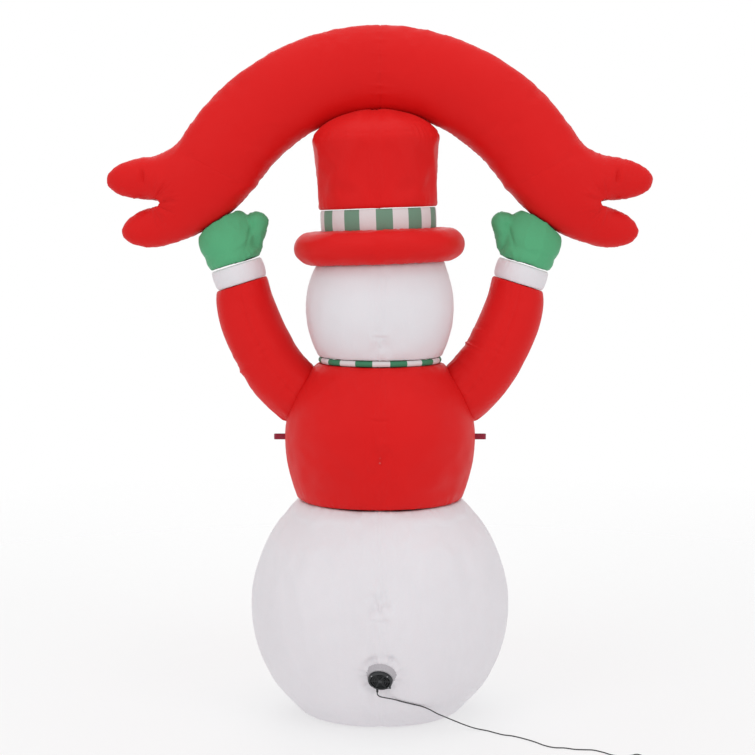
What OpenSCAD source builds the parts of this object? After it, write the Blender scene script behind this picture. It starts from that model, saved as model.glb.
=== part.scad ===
// Inflatable yard snowman: a sewn fabric envelope kept up by a small blower.
// Millimetres, +Z up. The face looks along -Y and the blower is at the back, +Y.

/* [Envelope] */
// Widest radius of the white lower ball
ball_r = 452; // [445:1:460]
// Height of the lower ball's widest circle
ball_z = 380; // [376:1:384]
// Radius of the flat ground panel
base_r = 205; // [195:1:220]
// Widest radius of the red jacket
torso_r = 335; // [325:1:345]
// Widest radius of the head
head_r = 260; // [250:1:265]
// Thickness of the skin, which stands in for the coated cloth
skin = 2.5; // [2:0.5:4]
// Gap left between pieces that only touch
seam_gap = 0.5; // [0.3:0.1:1]

/* [Hat] */
// Sideways lean of the hat, in degrees
hat_tilt = 2; // [0:0.5:3]
// Outer radius of the rolled brim
brim_r = 294; // [285:1:300]
// Height of the rolled brim
brim_h = 109; // [104:1:114]
// Height of the striped hat band
band_h = 75; // [70:1:80]
// Radius at the bottom of the crown
crown_r = 200; // [195:1:205]
// Radius at the top of the crown, below its dome
crown_top_r = 222; // [215:1:225]

/* [Banner] */
// Radius of the arch's centre line
arch_r = 650; // [645:1:655]
// Half the arch's height, measured along its radius
arch_half_h = 155; // [150:1:158]
// Half the arch's thickness, front to back
arch_half_d = 106; // [100:1:112]
// Half the angle that the round arch covers, in degrees
arch_half_angle = 62; // [61:0.5:63]
// Front-to-back place of the banner
banner_y = -40; // [-50:1:-30]

/* [Arms] */
// Radius of the sleeves where they meet the cuffs
sleeve_r = 90; // [88:1:92]
// Outward lean of the cuffs and mittens, in degrees
arm_lean = 17.4; // [16:0.2:19]
// Radius of the cuffs
cuff_r = 92; // [90:1:95]
// Widest radius of the mittens
mitten_r = 105; // [100:1:108]

/* [Blower] */
// Downward pitch of the blower's intake, in degrees
blower_pitch = 33; // [30:1:36]
// Sideways turn of the blower's intake, in degrees
blower_yaw = 8; // [0:1:12]
// Radius of the blower's rim
rim_r = 39.5; // [39:0.5:41]
// Number of impeller blades
blade_count = 7; // [5:1:9]
// Diameter of the impeller's steel shaft
shaft_d = 3; // [2.5:0.1:3.2]
// Radial running clearance of the shaft in its bush
shaft_clearance = 0.05; // [0.03:0.01:0.08]

/* [Power cord] */
// Diameter of the low-voltage cord
cord_d = 4; // [3.6:0.1:4.4]
// Mean diameter of the stored turns
coil_d = 48; // [44:1:50]
// Length of the plug-in adapter's body
adapter_l = 74; // [65:1:80]

/* [Hidden] */
$fn = 96;
panel_t = 3;                      // ground panel
torso_z = 979;                    // the jacket's widest circle
torso_z0 = 752;                   // seam with the ball
torso_z1 = 1231;                  // seam with the scarf
torso_up = 324;                   // reach of the jacket's curve above its widest circle
scarf_h = 21;
head_z = 1422;                    // the head's widest circle
head_z0 = torso_z1 + scarf_h;
hat_z = 1581;                     // seam between head and brim
crown_wall = 231;                 // crown height below its dome
dome_h = 108;
arch_z = 1595;                    // centre of the arch
root_angle = 58;                  // where the banner's lobes leave the arch
hand_top = 228;                   // where the banner rests on the mittens, in the hand's frame
hand_slope = 18;

// ---------- curves and profiles ----------
function half_ellipse(z, z0, r, below, above) =
    r * sqrt(max(0, 1 - pow((z - z0) / (z < z0 ? below : above), 2)));
function rows(a, b, n) = [for (i = [0:n]) a + (b - a) * i / n];
function flip(list) = [for (i = [len(list) - 1:-1:0]) list[i]];
function arc(x, y, rx, ry, a0, a1, n) =
    [for (i = [0:n]) let (a = a0 + (a1 - a0) * i / n) [x + rx * cos(a), y + ry * sin(a)]];

function ball_side(g) = [for (z = rows(panel_t + 9, torso_z0, 22))
    [half_ellipse(z, ball_z, ball_r, 470, 470) + g, z]];
function ball_outer(g) = concat(
    [[base_r + g, panel_t], [base_r + 32 + g, panel_t + 2]], ball_side(g));
function torso_outer(g) = [for (z = rows(torso_z0, torso_z1, 18))
    [half_ellipse(z, torso_z, torso_r, 419, torso_up) + g, z]];
function head_outer(g) = [for (z = rows(head_z0, hat_z + 20, 18))
    [half_ellipse(z, head_z, head_r, 292, 295) + g, z]];

// A thin skin of revolution between a profile and the same profile moved in.
module ring_skin(outer, inner)
    rotate_extrude() polygon(concat(outer, flip(inner)));

// A filled body of revolution under an open profile.
module filled(side)
    rotate_extrude() polygon(concat([[0, side[0][1]]], side, [[0, side[len(side) - 1][1]]]));

// A bullet of revolution along +Z: flat at the start, round at the tip.
module bullet(length, r)
    rotate_extrude($fn = 48) polygon(concat([[0, 0]], [[r, 0]],
        arc(0, length - r, r, r, 0, 90, 8)));

// ---------- swept tubes ----------
function unit(v) = v / norm(v);
function heading(p, i) = unit(p[min(i + 1, len(p) - 1)] - p[max(i - 1, 0)]);
function tube_ring(c, d, ref, r, n) = let (s = unit(cross(d, ref)), u = cross(s, d))
    [for (k = [0:n - 1]) c + r * (cos(360 * (k + 0.5) / n) * s + sin(360 * (k + 0.5) / n) * u)];
function curve_point(a, b, c, d, t) = 0.5 * ((2 * b) + (c - a) * t
    + (2 * a - 5 * b + 4 * c - d) * t * t + (3 * b - a - 3 * c + d) * t * t * t);
function smooth(p, m) = concat([for (i = [0:len(p) - 2]) for (j = [0:m - 1])
    curve_point(p[max(i - 1, 0)], p[i], p[i + 1], p[min(i + 2, len(p) - 1)], j / m)],
    [p[len(p) - 1]]);

module tube(p, radii, ref, n) {
    count = len(p);
    points = [for (i = [0:count - 1]) each tube_ring(p[i], heading(p, i), ref, radii[i], n)];
    sides = [for (i = [0:count - 2]) for (k = [0:n - 1]) let (a = i * n + k, b = i * n + (k + 1) % n)
        each [[a, b, a + n], [b, b + n, a + n]]];
    first = [for (k = [n - 1:-1:0]) k];
    last = [for (k = [0:n - 1]) (count - 1) * n + k];
    polyhedron(points, concat(sides, [first], [last]));
}

// ---------- sewn envelope ----------
module ball_solid(g = 0) filled(ball_outer(g));
module torso_solid(g = 0) filled(torso_outer(g));
module head_solid(g = 0) filled(head_outer(g));

module base_panel() color("whitesmoke") cylinder(r = base_r, h = panel_t);

module lower_ball() color("whitesmoke") difference() {
    ring_skin(ball_outer(0), ball_outer(-skin));
    at_blower() translate([0, 0, -70]) cylinder(r = rim_r + 5, h = 120);
}

module torso() color("firebrick") difference() {
    ring_skin(torso_outer(0), torso_outer(-skin));
    for (side = [-1, 1]) sleeve_tube(side, -skin, 12);
}

module neck_scarf() color("seagreen") ring_skin(
    [[211, torso_z1], [214, torso_z1 + 6], [214, head_z0 - 6], [211, head_z0]],
    [[211 - skin, torso_z1], [214 - skin, torso_z1 + 6], [214 - skin, head_z0 - 6],
     [211 - skin, head_z0]]);

module at_hat() translate([0, 0, hat_z]) rotate([0, hat_tilt, 0]) children();

module head() color("whitesmoke") difference() {
    ring_skin(head_outer(0), head_outer(-skin));
    at_hat() cylinder(r = 400, h = 200);
}

function brim_side(g) = let (c = brim_r - brim_h / 2) concat([[215, -g]],
    arc(c, brim_h / 2, brim_h / 2 + g, brim_h / 2 + g, -90, 90, 16), [[crown_r + 1, brim_h + g]]);

module hat_brim() color("firebrick") at_hat()
    ring_skin(brim_side(0), brim_side(-skin));

module hat_band() color("seagreen") at_hat() translate([0, 0, brim_h])
    ring_skin([[crown_r - 1, 0], [crown_r + 1, 6], [crown_r + 1, band_h - 6], [crown_r - 1, band_h]],
        [[crown_r - 1 - skin, 0], [crown_r + 1 - skin, 6], [crown_r + 1 - skin, band_h - 6],
         [crown_r - 1 - skin, band_h]]);

function crown_side(g) = concat([[crown_r + g, 0], [crown_r + 3 + g, 8]],
    arc(0, crown_wall, crown_top_r + g, dome_h + g, 0, 89, 14), [[0, crown_wall + dome_h + g]]);
module at_crown() at_hat() translate([0, 0, brim_h + band_h]) children();

module hat_crown() color("firebrick") at_crown()
    ring_skin(crown_side(0), crown_side(-skin));

module sleeve_path_tube(p, g) tube(p, [for (i = [0:len(p) - 1]) let (left = 1 - i / (len(p) - 1))
    sleeve_r + g + 15 * sin(min(90, 300 * left)) + 4 * pow(left, 3)], [0, 1, 0], 24);

// The sleeve runs from inside the jacket up to the cuff; extra lengthens both ends.
function sleeve_path(side, extra) = [for (p = [
    [225 - extra, 0, 1082 - extra / 2], [285, -1, 1122], [340, -4, 1174], [384, -9, 1233],
    [407, -13, 1275], [430, -18, 1319], [456, -24, 1381], [474, -29, 1444],
    [482 + extra * 0.3, -32, 1505 + extra]]) [side * p[0], p[1], p[2]]];

module sleeve_tube(side, g, extra) sleeve_path_tube(smooth(sleeve_path(side, extra), 2), g);

module sleeve(side) color("firebrick") difference() {
    sleeve_tube(side, 0, 12);
    sleeve_tube(side, -skin, 24);
    torso_solid(seam_gap);
    at_hand(side) translate([-200, -200, 0]) cube([400, 400, 100]);
}
module left_sleeve() sleeve(1);
module right_sleeve() sleeve(-1);

// The hand's own frame: +Z runs up along the forearm from the cuff's lower edge.
module at_hand(side) translate([side * 482, -32, 1505]) rotate([0, side * arm_lean, 0]) children();

function cuff_side(g) = [[cuff_r - 6 + g, 0.5], [cuff_r - 1 + g, 6], [cuff_r + g, 22],
    [cuff_r + g, 52], [cuff_r - 1 + g, 64], [cuff_r - 6 + g, 70]];
module cuff(side) color("whitesmoke") at_hand(side) ring_skin(cuff_side(0), cuff_side(-skin));
module left_cuff() cuff(1);
module right_cuff() cuff(-1);

function palm_side(g) = concat([[84 + g, 70.5], [92 + g, 92]],
    arc(0, 165, mitten_r + g, 110 + g, -28, 88, 12), [[0, 275 + g]]);

// Palm and thumb, cut along the line where the banner's lower edge rests on them.
module mitten_body(side, g) {
    difference() {
        union() {
            rotate_extrude() polygon(concat([[0, 70.5 - (g < 0 ? 6 : 0)]],
                [[84 + g, 70.5 - (g < 0 ? 6 : 0)]], palm_side(g)));
            translate([-side * 58, 0, 96]) rotate([0, -side * 32, 0]) bullet(158 + g, 37 + g);
        }
        translate([side * 10, 0, hand_top + g]) rotate([0, side * hand_slope, 0])
            translate([side * 40, 0, 100]) cube([240, 400, 200], center = true);
    }
}
module mitten(side) color("mediumseagreen") at_hand(side) difference() {
    mitten_body(side, 0);
    mitten_body(side, -skin);
}
module left_mitten() mitten(1);
module right_mitten() mitten(-1);

// ---------- banner ----------
// The banner's own frame: X and Y lie in its flat, and Z runs through its thickness.
module at_banner() translate([0, banner_y, 0]) rotate([90, 0, 0]) children();

// A stretch of the round arch between two angles from the vertical, positive to the left.
module arch(g, from, to) translate([0, arch_z])
    rotate([0, 0, 90 - to]) rotate_extrude(angle = to - from, $fn = 120)
        polygon(arc(arch_r, 0, arch_half_h + g, arch_half_d + g, 0, 345, 23));

// A lobe of the swallow-tailed end. It leaves the arch along the arch's own slope at
// root_angle, offset from its centre line, bends outwards on one arc and ends in an oval tip.
module lobe(offset_r, target, r, tip, early) {
    start = [(arch_r + offset_r) * sin(root_angle), arch_z + (arch_r + offset_r) * cos(root_angle)];
    run = target - start;
    slope = atan2(run[1], run[0]);
    bend = 2 * (slope + root_angle);
    rho = norm(run) / (2 * sin(bend / 2));
    middle = start + rho * [sin(root_angle), cos(root_angle)];
    translate(middle) rotate([0, 0, -90 - root_angle]) {
        rotate([0, 0, -early]) rotate_extrude(angle = bend + early, $fn = 90)
            translate([rho, 0]) circle(r = r, $fn = 36);
        rotate([0, 0, bend]) translate([rho, 0, 0]) rotate([-90, 0, 0])
            rotate_extrude($fn = 36) polygon(concat([[0, -10], [r - 0.6, -10]],
                arc(0, 0, r - 0.6, tip, 0, 90, 8)));
    }
}

// The hat's dome presses a dent into the underside of the arch.
module dented_arch(g, dent, half) difference() {
    at_banner() arch(g, -half, half);
    at_crown() filled(crown_side(dent));
}

module banner_arch() color("firebrick") difference() {
    dented_arch(0, seam_gap, root_angle);
    dented_arch(-skin, seam_gap + skin, root_angle + 1);
}

// The forked end beyond the seam at root_angle; early opens the inside through the seam.
module forked_end(g, early) {
    arch(g, root_angle - early, arch_half_angle + g / 10);
    lobe(68, [806, 1866], 80 + g, 148 + g, early);
    lobe(-68, [775, 1706], 76 + g, 122 + g, early);
    translate([668, 1815, 0]) sphere(r = 92 + g, $fn = 30);
}

module one_end(g, early) at_banner() mirror([1, 0, 0]) forked_end(g, early);
module right_banner_end() color("firebrick") difference() {
    one_end(0, 0);
    one_end(-skin, 0.6);
}
// The cushion is the same at its front and back, so the left end is the right one turned round.
module left_banner_end() translate([0, banner_y, 0]) rotate([0, 0, 180])
    translate([0, -banner_y, 0]) right_banner_end();

// ---------- webbing loops and front trim ----------
// A strip of webbing folded into a loop, with both ends sewn into the side seam.
module tether_loop(side) color("darkred") difference() {
    rotate([0, 0, side > 0 ? 0 : 180]) translate([torso_r - 2, -8, 960])
        linear_extrude(19) difference() {
            union() {
                square([31, 16]);
                translate([31, 8]) circle(r = 8, $fn = 48);
            }
            translate([-1, 1.6]) square([32, 12.8]);
            translate([31, 8]) circle(r = 6.4, $fn = 48);
        }
    torso_solid(0.1);
}
module left_tether_loop() tether_loop(1);
module right_tether_loop() tether_loop(-1);

module carrot_nose() color("darkorange") difference() {
    translate([0, -200, head_z + 5]) rotate([90 - 4, 0, 0])
        rotate_extrude($fn = 64) polygon(concat([[0, 0], [42, 0], [42, 55]],
            [for (i = [1:8]) [42 - 34 * i / 8, 55 + 120 * i / 8]], arc(0, 175, 8, 8, 0, 90, 5)));
    head_solid(seam_gap);
}

// A padded disc that sits on a body of revolution of radius r at height z.
module pad(x, z, r, pitch, pad_r) translate([x, -sqrt(r * r - x * x), z])
    rotate([0, 0, asin(x / r)]) rotate([90 - pitch, 0, 0]) translate([0, 0, seam_gap])
        rotate_extrude($fn = 48) polygon(concat([[0, 0]], arc(0, 0, pad_r, pad_r * 0.45, 0, 90, 7)));

function head_side_r(z) = half_ellipse(z, head_z, head_r, 292, 295);
function torso_side_r(z) = half_ellipse(z, torso_z, torso_r, 419, torso_up);
function side_pitch(r0, r1, step) = -atan((r1 - r0) / step);

module on_head(x, z, r)
    pad(x, z, head_side_r(z), side_pitch(head_side_r(z - 5), head_side_r(z + 5), 10), r);
module coal_eyes() color("black") for (side = [-1, 1]) on_head(side * 78, head_z + 62, 25);
module coal_mouth() color("black") for (a = [-52:26:52])
    on_head(118 * sin(a), head_z - 6 - 96 * cos(a), 14);
module jacket_buttons() color("black") for (z = [840, 960, 1080])
    pad(0, z, torso_side_r(z), side_pitch(torso_side_r(z - 5), torso_side_r(z + 5), 10), 30);

// Flat striped strip that hangs from the neck over the front of the jacket.
module scarf_tail() color("seagreen") intersection() {
    difference() {
        torso_solid(10);
        torso_solid(seam_gap);
    }
    translate([55, -400, 968]) cube([105, 400, 262]);
}

// ---------- inner ties and lamps ----------
module tie(z, h, reach) translate([-0.6, -reach, z - h / 2]) cube([1.2, 2 * reach, h]);
module ball_tie() color("white") intersection() {
    tie(455, 20, 600);
    ball_solid(-skin - 0.2);
}
module torso_tie() color("white") intersection() {
    tie(930, 20, 600);
    torso_solid(-skin - 0.2);
}
module head_tie() color("white") intersection() {
    tie(1312, 20, 600);
    head_solid(-skin - 0.2);
}

lead_r = 1.5;
lead_x = 0.6 + lead_r;
lamp_z = [560, 760, 1000, 1180, 1400, 1640, 1860];
module lamp_lead() color("gainsboro") {
    translate([lead_x, 0, 392]) cylinder(r = lead_r, h = 1520, $fn = 24);
    tube([[lead_x, 0, 393], [lead_x, 60, 385], [lead_x, 160, 350], [lead_x, 260, 305],
        [-4, 340, 272], [-6.5, 366, 262]], [for (i = [0:5]) lead_r], [1, 0, 0], 10);
}
module led_lamps() color("white") for (z = lamp_z) translate([lead_x + lead_r + 5.1, 0, z]) {
    cylinder(r = 5, h = 16, $fn = 32);
    translate([0, 0, 16]) sphere(r = 5, $fn = 32);
}

// ---------- blower ----------
// Its own frame: +Z is the intake's outward normal, and +Y is downwards along the face.
module at_blower() translate([0, 452, 212]) rotate([0, 0, -blower_yaw])
    rotate([-90 - blower_pitch, 0, 0]) children();

duct_r = 37;
duct_in = 34.6;
rim_t = 8;
duct_l = 46;

module blower_sleeve() color("whitesmoke") difference() {
    at_blower() ring_skin([[rim_r + 4.4, -64], [rim_r + 4, -40], [rim_r + 2.6, -12]],
        [[rim_r + 1.9, -64], [rim_r + 1.5, -40], [rim_r + 0.1, -12]]);
    ball_solid(-14);
}

module sleeve_tie() color("white") at_blower() translate([0, 0, -16]) difference() {
    cylinder(r = rim_r + 4.4, h = 3.4);
    translate([0, 0, -1]) cylinder(r = rim_r + 3, h = 6);
}

screw_r = 37;
module blower_housing() color("dimgray") at_blower() difference() {
    union() {
        translate([0, 0, -duct_l - 3]) cylinder(r = duct_r, h = duct_l);
        translate([0, 0, -3 - rim_t]) cylinder(r = rim_r, h = rim_t);
        translate([-33, 28, -2 - rim_t]) cube([10, 9, rim_t - 2]);
    }
    translate([0, 0, -duct_l - 4]) cylinder(r = duct_in, h = duct_l + 2);
    for (a = [45:90:315]) rotate([0, 0, a]) translate([screw_r, 0, -9.5]) cylinder(r = 1.1, h = 9);
}

module ring(ri, ro, h) difference() {
    cylinder(r = ro, h = h);
    translate([0, 0, -1]) cylinder(r = ri, h = h + 2);
}

module intake_grille() color("dimgray") at_blower() translate([0, 0, -3]) difference() {
    union() {
        ring(33.5, rim_r, 3);
        for (r = [13, 20, 27]) translate([0, 0, 0.6]) ring(r - 1, r + 1, 1.8);
        translate([0, 0, 0.3]) cylinder(r = 8, h = 2.4);
        for (a = [0:60:300]) rotate([0, 0, a]) translate([6, -1.2, 0.8]) cube([29, 2.4, 1.2]);
    }
    for (a = [45:90:315]) rotate([0, 0, a]) translate([screw_r, 0, -1]) cylinder(r = 1.2, h = 5);
}

module grille_screws() color("silver") at_blower() for (a = [45:90:315])
    rotate([0, 0, a]) translate([screw_r, 0, 0]) {
        translate([0, 0, -9]) cylinder(r = 1, h = 9, $fn = 24);
        difference() {
            cylinder(r = 2, h = 1.2, $fn = 24);
            translate([-0.3, -1.5, 0.6]) cube([0.6, 3, 1]);
            translate([-1.5, -0.3, 0.6]) cube([3, 0.6, 1]);
        }
    }

motor_r = 13;
motor_l = 24;
back_z = -duct_l - 3;
module outlet_grille() color("dimgray") at_blower() translate([0, 0, back_z - 3]) difference() {
    union() {
        ring(33.5, duct_r, 3);
        ring(23, 25, 2.4);
        cylinder(r = 15, h = 3);
        for (a = [30:60:330]) rotate([0, 0, a]) translate([13, -1.2, 0]) cube([22, 2.4, 3]);
    }
    for (a = [0, 180]) rotate([0, 0, a]) translate([8, 0, -1]) cylinder(r = 1.3, h = 5, $fn = 24);
}

bush_z = back_z + motor_l;
module fan_motor() color("silver") at_blower() difference() {
    translate([0, 0, back_z]) cylinder(r = motor_r, h = motor_l);
    translate([0, 0, back_z + 6]) cylinder(r = shaft_d / 2 + 0.6, h = motor_l);
    translate([0, 0, bush_z - 4]) cylinder(r = 4, h = 5);
    for (a = [0, 180]) rotate([0, 0, a]) translate([8, 0, back_z - 1]) cylinder(r = 1, h = 5, $fn = 24);
}

module motor_bush() color("gold") at_blower() translate([0, 0, bush_z - 4]) difference() {
    cylinder(r = 4, h = 5.5);
    translate([0, 0, -1]) cylinder(r = shaft_d / 2 + shaft_clearance, h = 8);
}

module motor_screws() color("silver") at_blower() for (a = [0, 180])
    rotate([0, 0, a]) translate([8, 0, back_z - 3]) {
        cylinder(r = 1, h = 7, $fn = 24);
        translate([0, 0, -1.2]) cylinder(r = 2, h = 1.2, $fn = 24);
    }

hub_z = bush_z + 3;
module impeller_shaft() color("silver") at_blower()
    translate([0, 0, back_z + 7]) cylinder(r = shaft_d / 2, h = hub_z + 12 - back_z - 7);

// A hub cup with slanted blades; the shaft is pressed into the hub.
module impeller() color("dimgray") at_blower() translate([0, 0, hub_z]) difference() {
    union() {
        cylinder(r = 12, h = 13);
        for (i = [0:blade_count - 1]) rotate([0, 0, i * 360 / blade_count]) intersection() {
            translate([11, 0, 6.5]) rotate([38, 0, 0]) translate([0, -10, -0.8]) cube([24, 20, 1.6]);
            cylinder(r = 33.4, h = 13);
        }
    }
    translate([0, 0, -1]) cylinder(r = shaft_d / 2, h = 13);
}

// ---------- power cord ----------
// The route of the lying cord, from the gland down past the ball and over the ground.
ROUTE = [
    [9, 426, 170], [8, 426, 162], [0, 422, 154], [-18, 411, 147], [-46, 395, 137],
    [-78, 377, 123], [-110, 358, 110], [-140, 341, 98], [-166, 328, 84], [-192, 318, 67],
    [-222, 307, 51], [-255, 296, 34], [-290, 289, 18], [-325, 287, 6], [-360, 298, 2],
    [-390, 326, 2], [-415, 348, 2], [-446, 362, 2], [-480, 391, 2], [-514, 428, 2],
    [-543, 468, 2], [-573, 491, 2], [-606, 495, 2], [-638, 510, 2], [-668, 514, 2],
    [-697, 518, 2], [-727, 542, 2], [-752, 571, 2], [-783, 588, 2], [-812, 577, 2],
    [-834, 564, 2], [-850, 582, 2], [-856, 612, 2], [-857, 650, 2], [-857, 690, 2]
];
coil_c = [-887, 690, 0];
coil_h = 15;
// The short run from the top of the coil over the incoming cord to the adapter.
TAIL = [for (p = [[22.2, -18.6, 12.5], [28.7, -11, 12], [38, 2, 9.5], [46.5, 14, 5.5],
    [51, 28, 2.6], [48, 42, 2], [38, 54, 2], [23, 61, 2], [8, 62, 2]]) p + coil_c];

module power_cord() color("dimgray") let (p = smooth(ROUTE, 2))
    tube(p, [for (q = p) cord_d / 2], [0, -1, 1], 8);

module coil_section(g) polygon([[-8 - g, 2], [-6.5, 0.5 - g], [6.5, 0.5 - g], [8 + g, 2],
    [8 + g, coil_h - 2], [6.5, coil_h + g], [-6.5, coil_h + g], [-8 - g, coil_h - 2]]);
module cord_coil() color("dimgray") translate(coil_c)
    rotate_extrude(angle = 320) translate([coil_d / 2, 0]) coil_section(0);

// A flat tie wrapped round the turns, opposite the side where the cord comes in.
module coil_tie() color("black") translate(coil_c) rotate([0, 0, 176])
    rotate_extrude(angle = 8) translate([coil_d / 2, 0]) difference() {
        coil_section(0.5);
        coil_section(0.05);
    }

module cord_tail() color("dimgray") let (p = smooth(TAIL, 2))
    tube(p, [for (q = p) cord_d / 2], [0.1, 0.1, 1], 8);

// A tapered rubber boot over the cord, thick end at the origin, pointing along -Z.
module relief(length, thick) mirror([0, 0, 1]) difference() {
    rotate_extrude($fn = 48) polygon([[0, 0], [thick, 0], [thick, 3],
        [cord_d / 2 + 1.6, length], [0, length]]);
    translate([0, 0, length - 1]) cylinder(r = cord_d / 2, h = 2, $fn = 48);
}

module cord_gland() color("black") difference() {
    translate([9, 426, 190]) relief(20, 4.5);
    at_blower() translate([0, 0, -60]) cylinder(r = rim_r, h = 120);
}

adapter_x = coil_c[0] + 8 - 22;
adapter_y = coil_c[1] + 62;
module plug_relief() color("black") translate([adapter_x, adapter_y, 2]) intersection() {
    rotate([0, -90, 0]) relief(22, 6);
    translate([0, -20, -2]) cube([40, 40, 20]);
}

// Plug-in adapter lying on its back, with rounded long edges.
module adapter_body() color("black") translate([adapter_x, adapter_y, 0]) rotate([0, -90, 0])
    linear_extrude(adapter_l) union() {
        translate([0, -18]) square([30, 36]);
        translate([5, -23]) square([20, 46]);
        for (z = [5, 25], y = [-18, 18]) translate([z, y]) circle(r = 5, $fn = 32);
    }

module adapter_prongs() color("silver") for (y = [-6.35, 6.35])
    translate([adapter_x - adapter_l - 17, adapter_y + y - 0.75, 12]) cube([17, 1.5, 6.3]);

base_panel();
lower_ball();
torso();
neck_scarf();
head();
hat_brim();
hat_band();
hat_crown();
left_sleeve();
right_sleeve();
left_cuff();
right_cuff();
left_mitten();
right_mitten();
banner_arch();
left_banner_end();
right_banner_end();
left_tether_loop();
right_tether_loop();
carrot_nose();
coal_eyes();
coal_mouth();
jacket_buttons();
scarf_tail();
ball_tie();
torso_tie();
head_tie();
lamp_lead();
led_lamps();
blower_sleeve();
sleeve_tie();
blower_housing();
intake_grille();
grille_screws();
outlet_grille();
fan_motor();
motor_screws();
motor_bush();
impeller_shaft();
impeller();
cord_gland();
power_cord();
cord_coil();
coil_tie();
cord_tail();
plug_relief();
adapter_body();
adapter_prongs();
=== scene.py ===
"""Looks of the inflatable yard snowman: sewn, blown-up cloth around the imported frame.

Metres, +Z up, the back with the blower is +Y."""
import math

import bmesh
import bpy
import numpy as np
from mathutils import Matrix, Vector


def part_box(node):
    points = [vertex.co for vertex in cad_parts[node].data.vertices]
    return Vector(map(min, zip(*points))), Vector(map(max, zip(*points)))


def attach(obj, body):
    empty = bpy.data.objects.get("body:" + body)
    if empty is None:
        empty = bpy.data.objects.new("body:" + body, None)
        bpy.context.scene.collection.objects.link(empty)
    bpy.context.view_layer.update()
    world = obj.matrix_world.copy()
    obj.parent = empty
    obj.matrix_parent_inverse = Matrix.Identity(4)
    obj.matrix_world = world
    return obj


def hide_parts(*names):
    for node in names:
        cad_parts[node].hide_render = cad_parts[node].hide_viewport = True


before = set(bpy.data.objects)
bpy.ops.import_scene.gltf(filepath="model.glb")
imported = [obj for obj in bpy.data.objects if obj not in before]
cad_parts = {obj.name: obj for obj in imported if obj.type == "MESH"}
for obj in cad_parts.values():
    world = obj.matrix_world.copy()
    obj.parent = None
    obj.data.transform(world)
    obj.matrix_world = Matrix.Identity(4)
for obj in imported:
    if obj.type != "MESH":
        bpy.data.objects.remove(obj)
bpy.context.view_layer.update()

MM = 0.001

# ---------- sizes that the frame's boxes give ----------
BALL_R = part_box("lower_ball")[1][0]
TORSO_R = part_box("torso")[1][0]
HEAD_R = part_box("head")[1][0]
BASE_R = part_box("base_panel")[1][0]
PANEL_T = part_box("base_panel")[1][2]
BALL_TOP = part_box("torso")[0][2]
SCARF_Z0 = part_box("neck_scarf")[0][2]
SCARF_Z1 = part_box("neck_scarf")[1][2]

# ---------- sizes that repeat the design ----------
BALL_MID = 0.380
TORSO_MID = 0.979
TORSO_UP = 0.324
HEAD_MID = 1.422
HAT_Z = 1.581
HAT_TILT = math.radians(2)
BRIM_R = 0.294
BRIM_H = 0.109
BAND_H = 0.075
CROWN_R = 0.200
CROWN_TOP_R = 0.222
CROWN_WALL = 0.231
DOME_H = 0.108
SCARF_R = 0.2115
ARM_LEAN = math.radians(17.4)
HAND = Vector((0.482, -0.032, 1.505))
CUFF_R = 0.092
MITTEN_R = 0.105
BANNER_Y = -0.040
ARCH_R = 0.650
ARCH_Z = 1.595
ARCH_HALF_H = 0.155
ARCH_HALF_D = 0.106
ROOT_ANGLE = math.radians(58)
ARCH_END = math.radians(62)
STRIPES = 22
STRIPE = 2 * math.pi / STRIPES

HAT = Matrix.Translation((0, 0, HAT_Z)) @ Matrix.Rotation(HAT_TILT, 4, "Y")
BAND = HAT @ Matrix.Translation((0, 0, BRIM_H))
CROWN = BAND @ Matrix.Translation((0, 0, BAND_H))
BLOWER = (Matrix.Translation((0, 0.452, 0.212)) @ Matrix.Rotation(math.radians(-8), 4, "Z")
          @ Matrix.Rotation(math.radians(-123), 4, "X"))


def hand(side):
    """The hand's own frame, +Z up along the forearm."""
    return Matrix.Translation((side * HAND.x, HAND.y, HAND.z)) @ Matrix.Rotation(side * ARM_LEAN, 4, "Y")


# ---------- camera ----------
def add_camera():
    data = bpy.data.cameras.new("camera")
    data.sensor_width = 36
    data.lens = 36 * 1780 / 755
    data.shift_x = -2.5 / 755
    data.clip_end = 60
    camera = bpy.data.objects.new("camera", data)
    camera.location = (0, 6.2, 1.76)
    camera.rotation_euler = (math.radians(90 - 5.37), 0, math.radians(180))
    bpy.context.collection.objects.link(camera)
    bpy.context.scene.camera = camera


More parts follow.
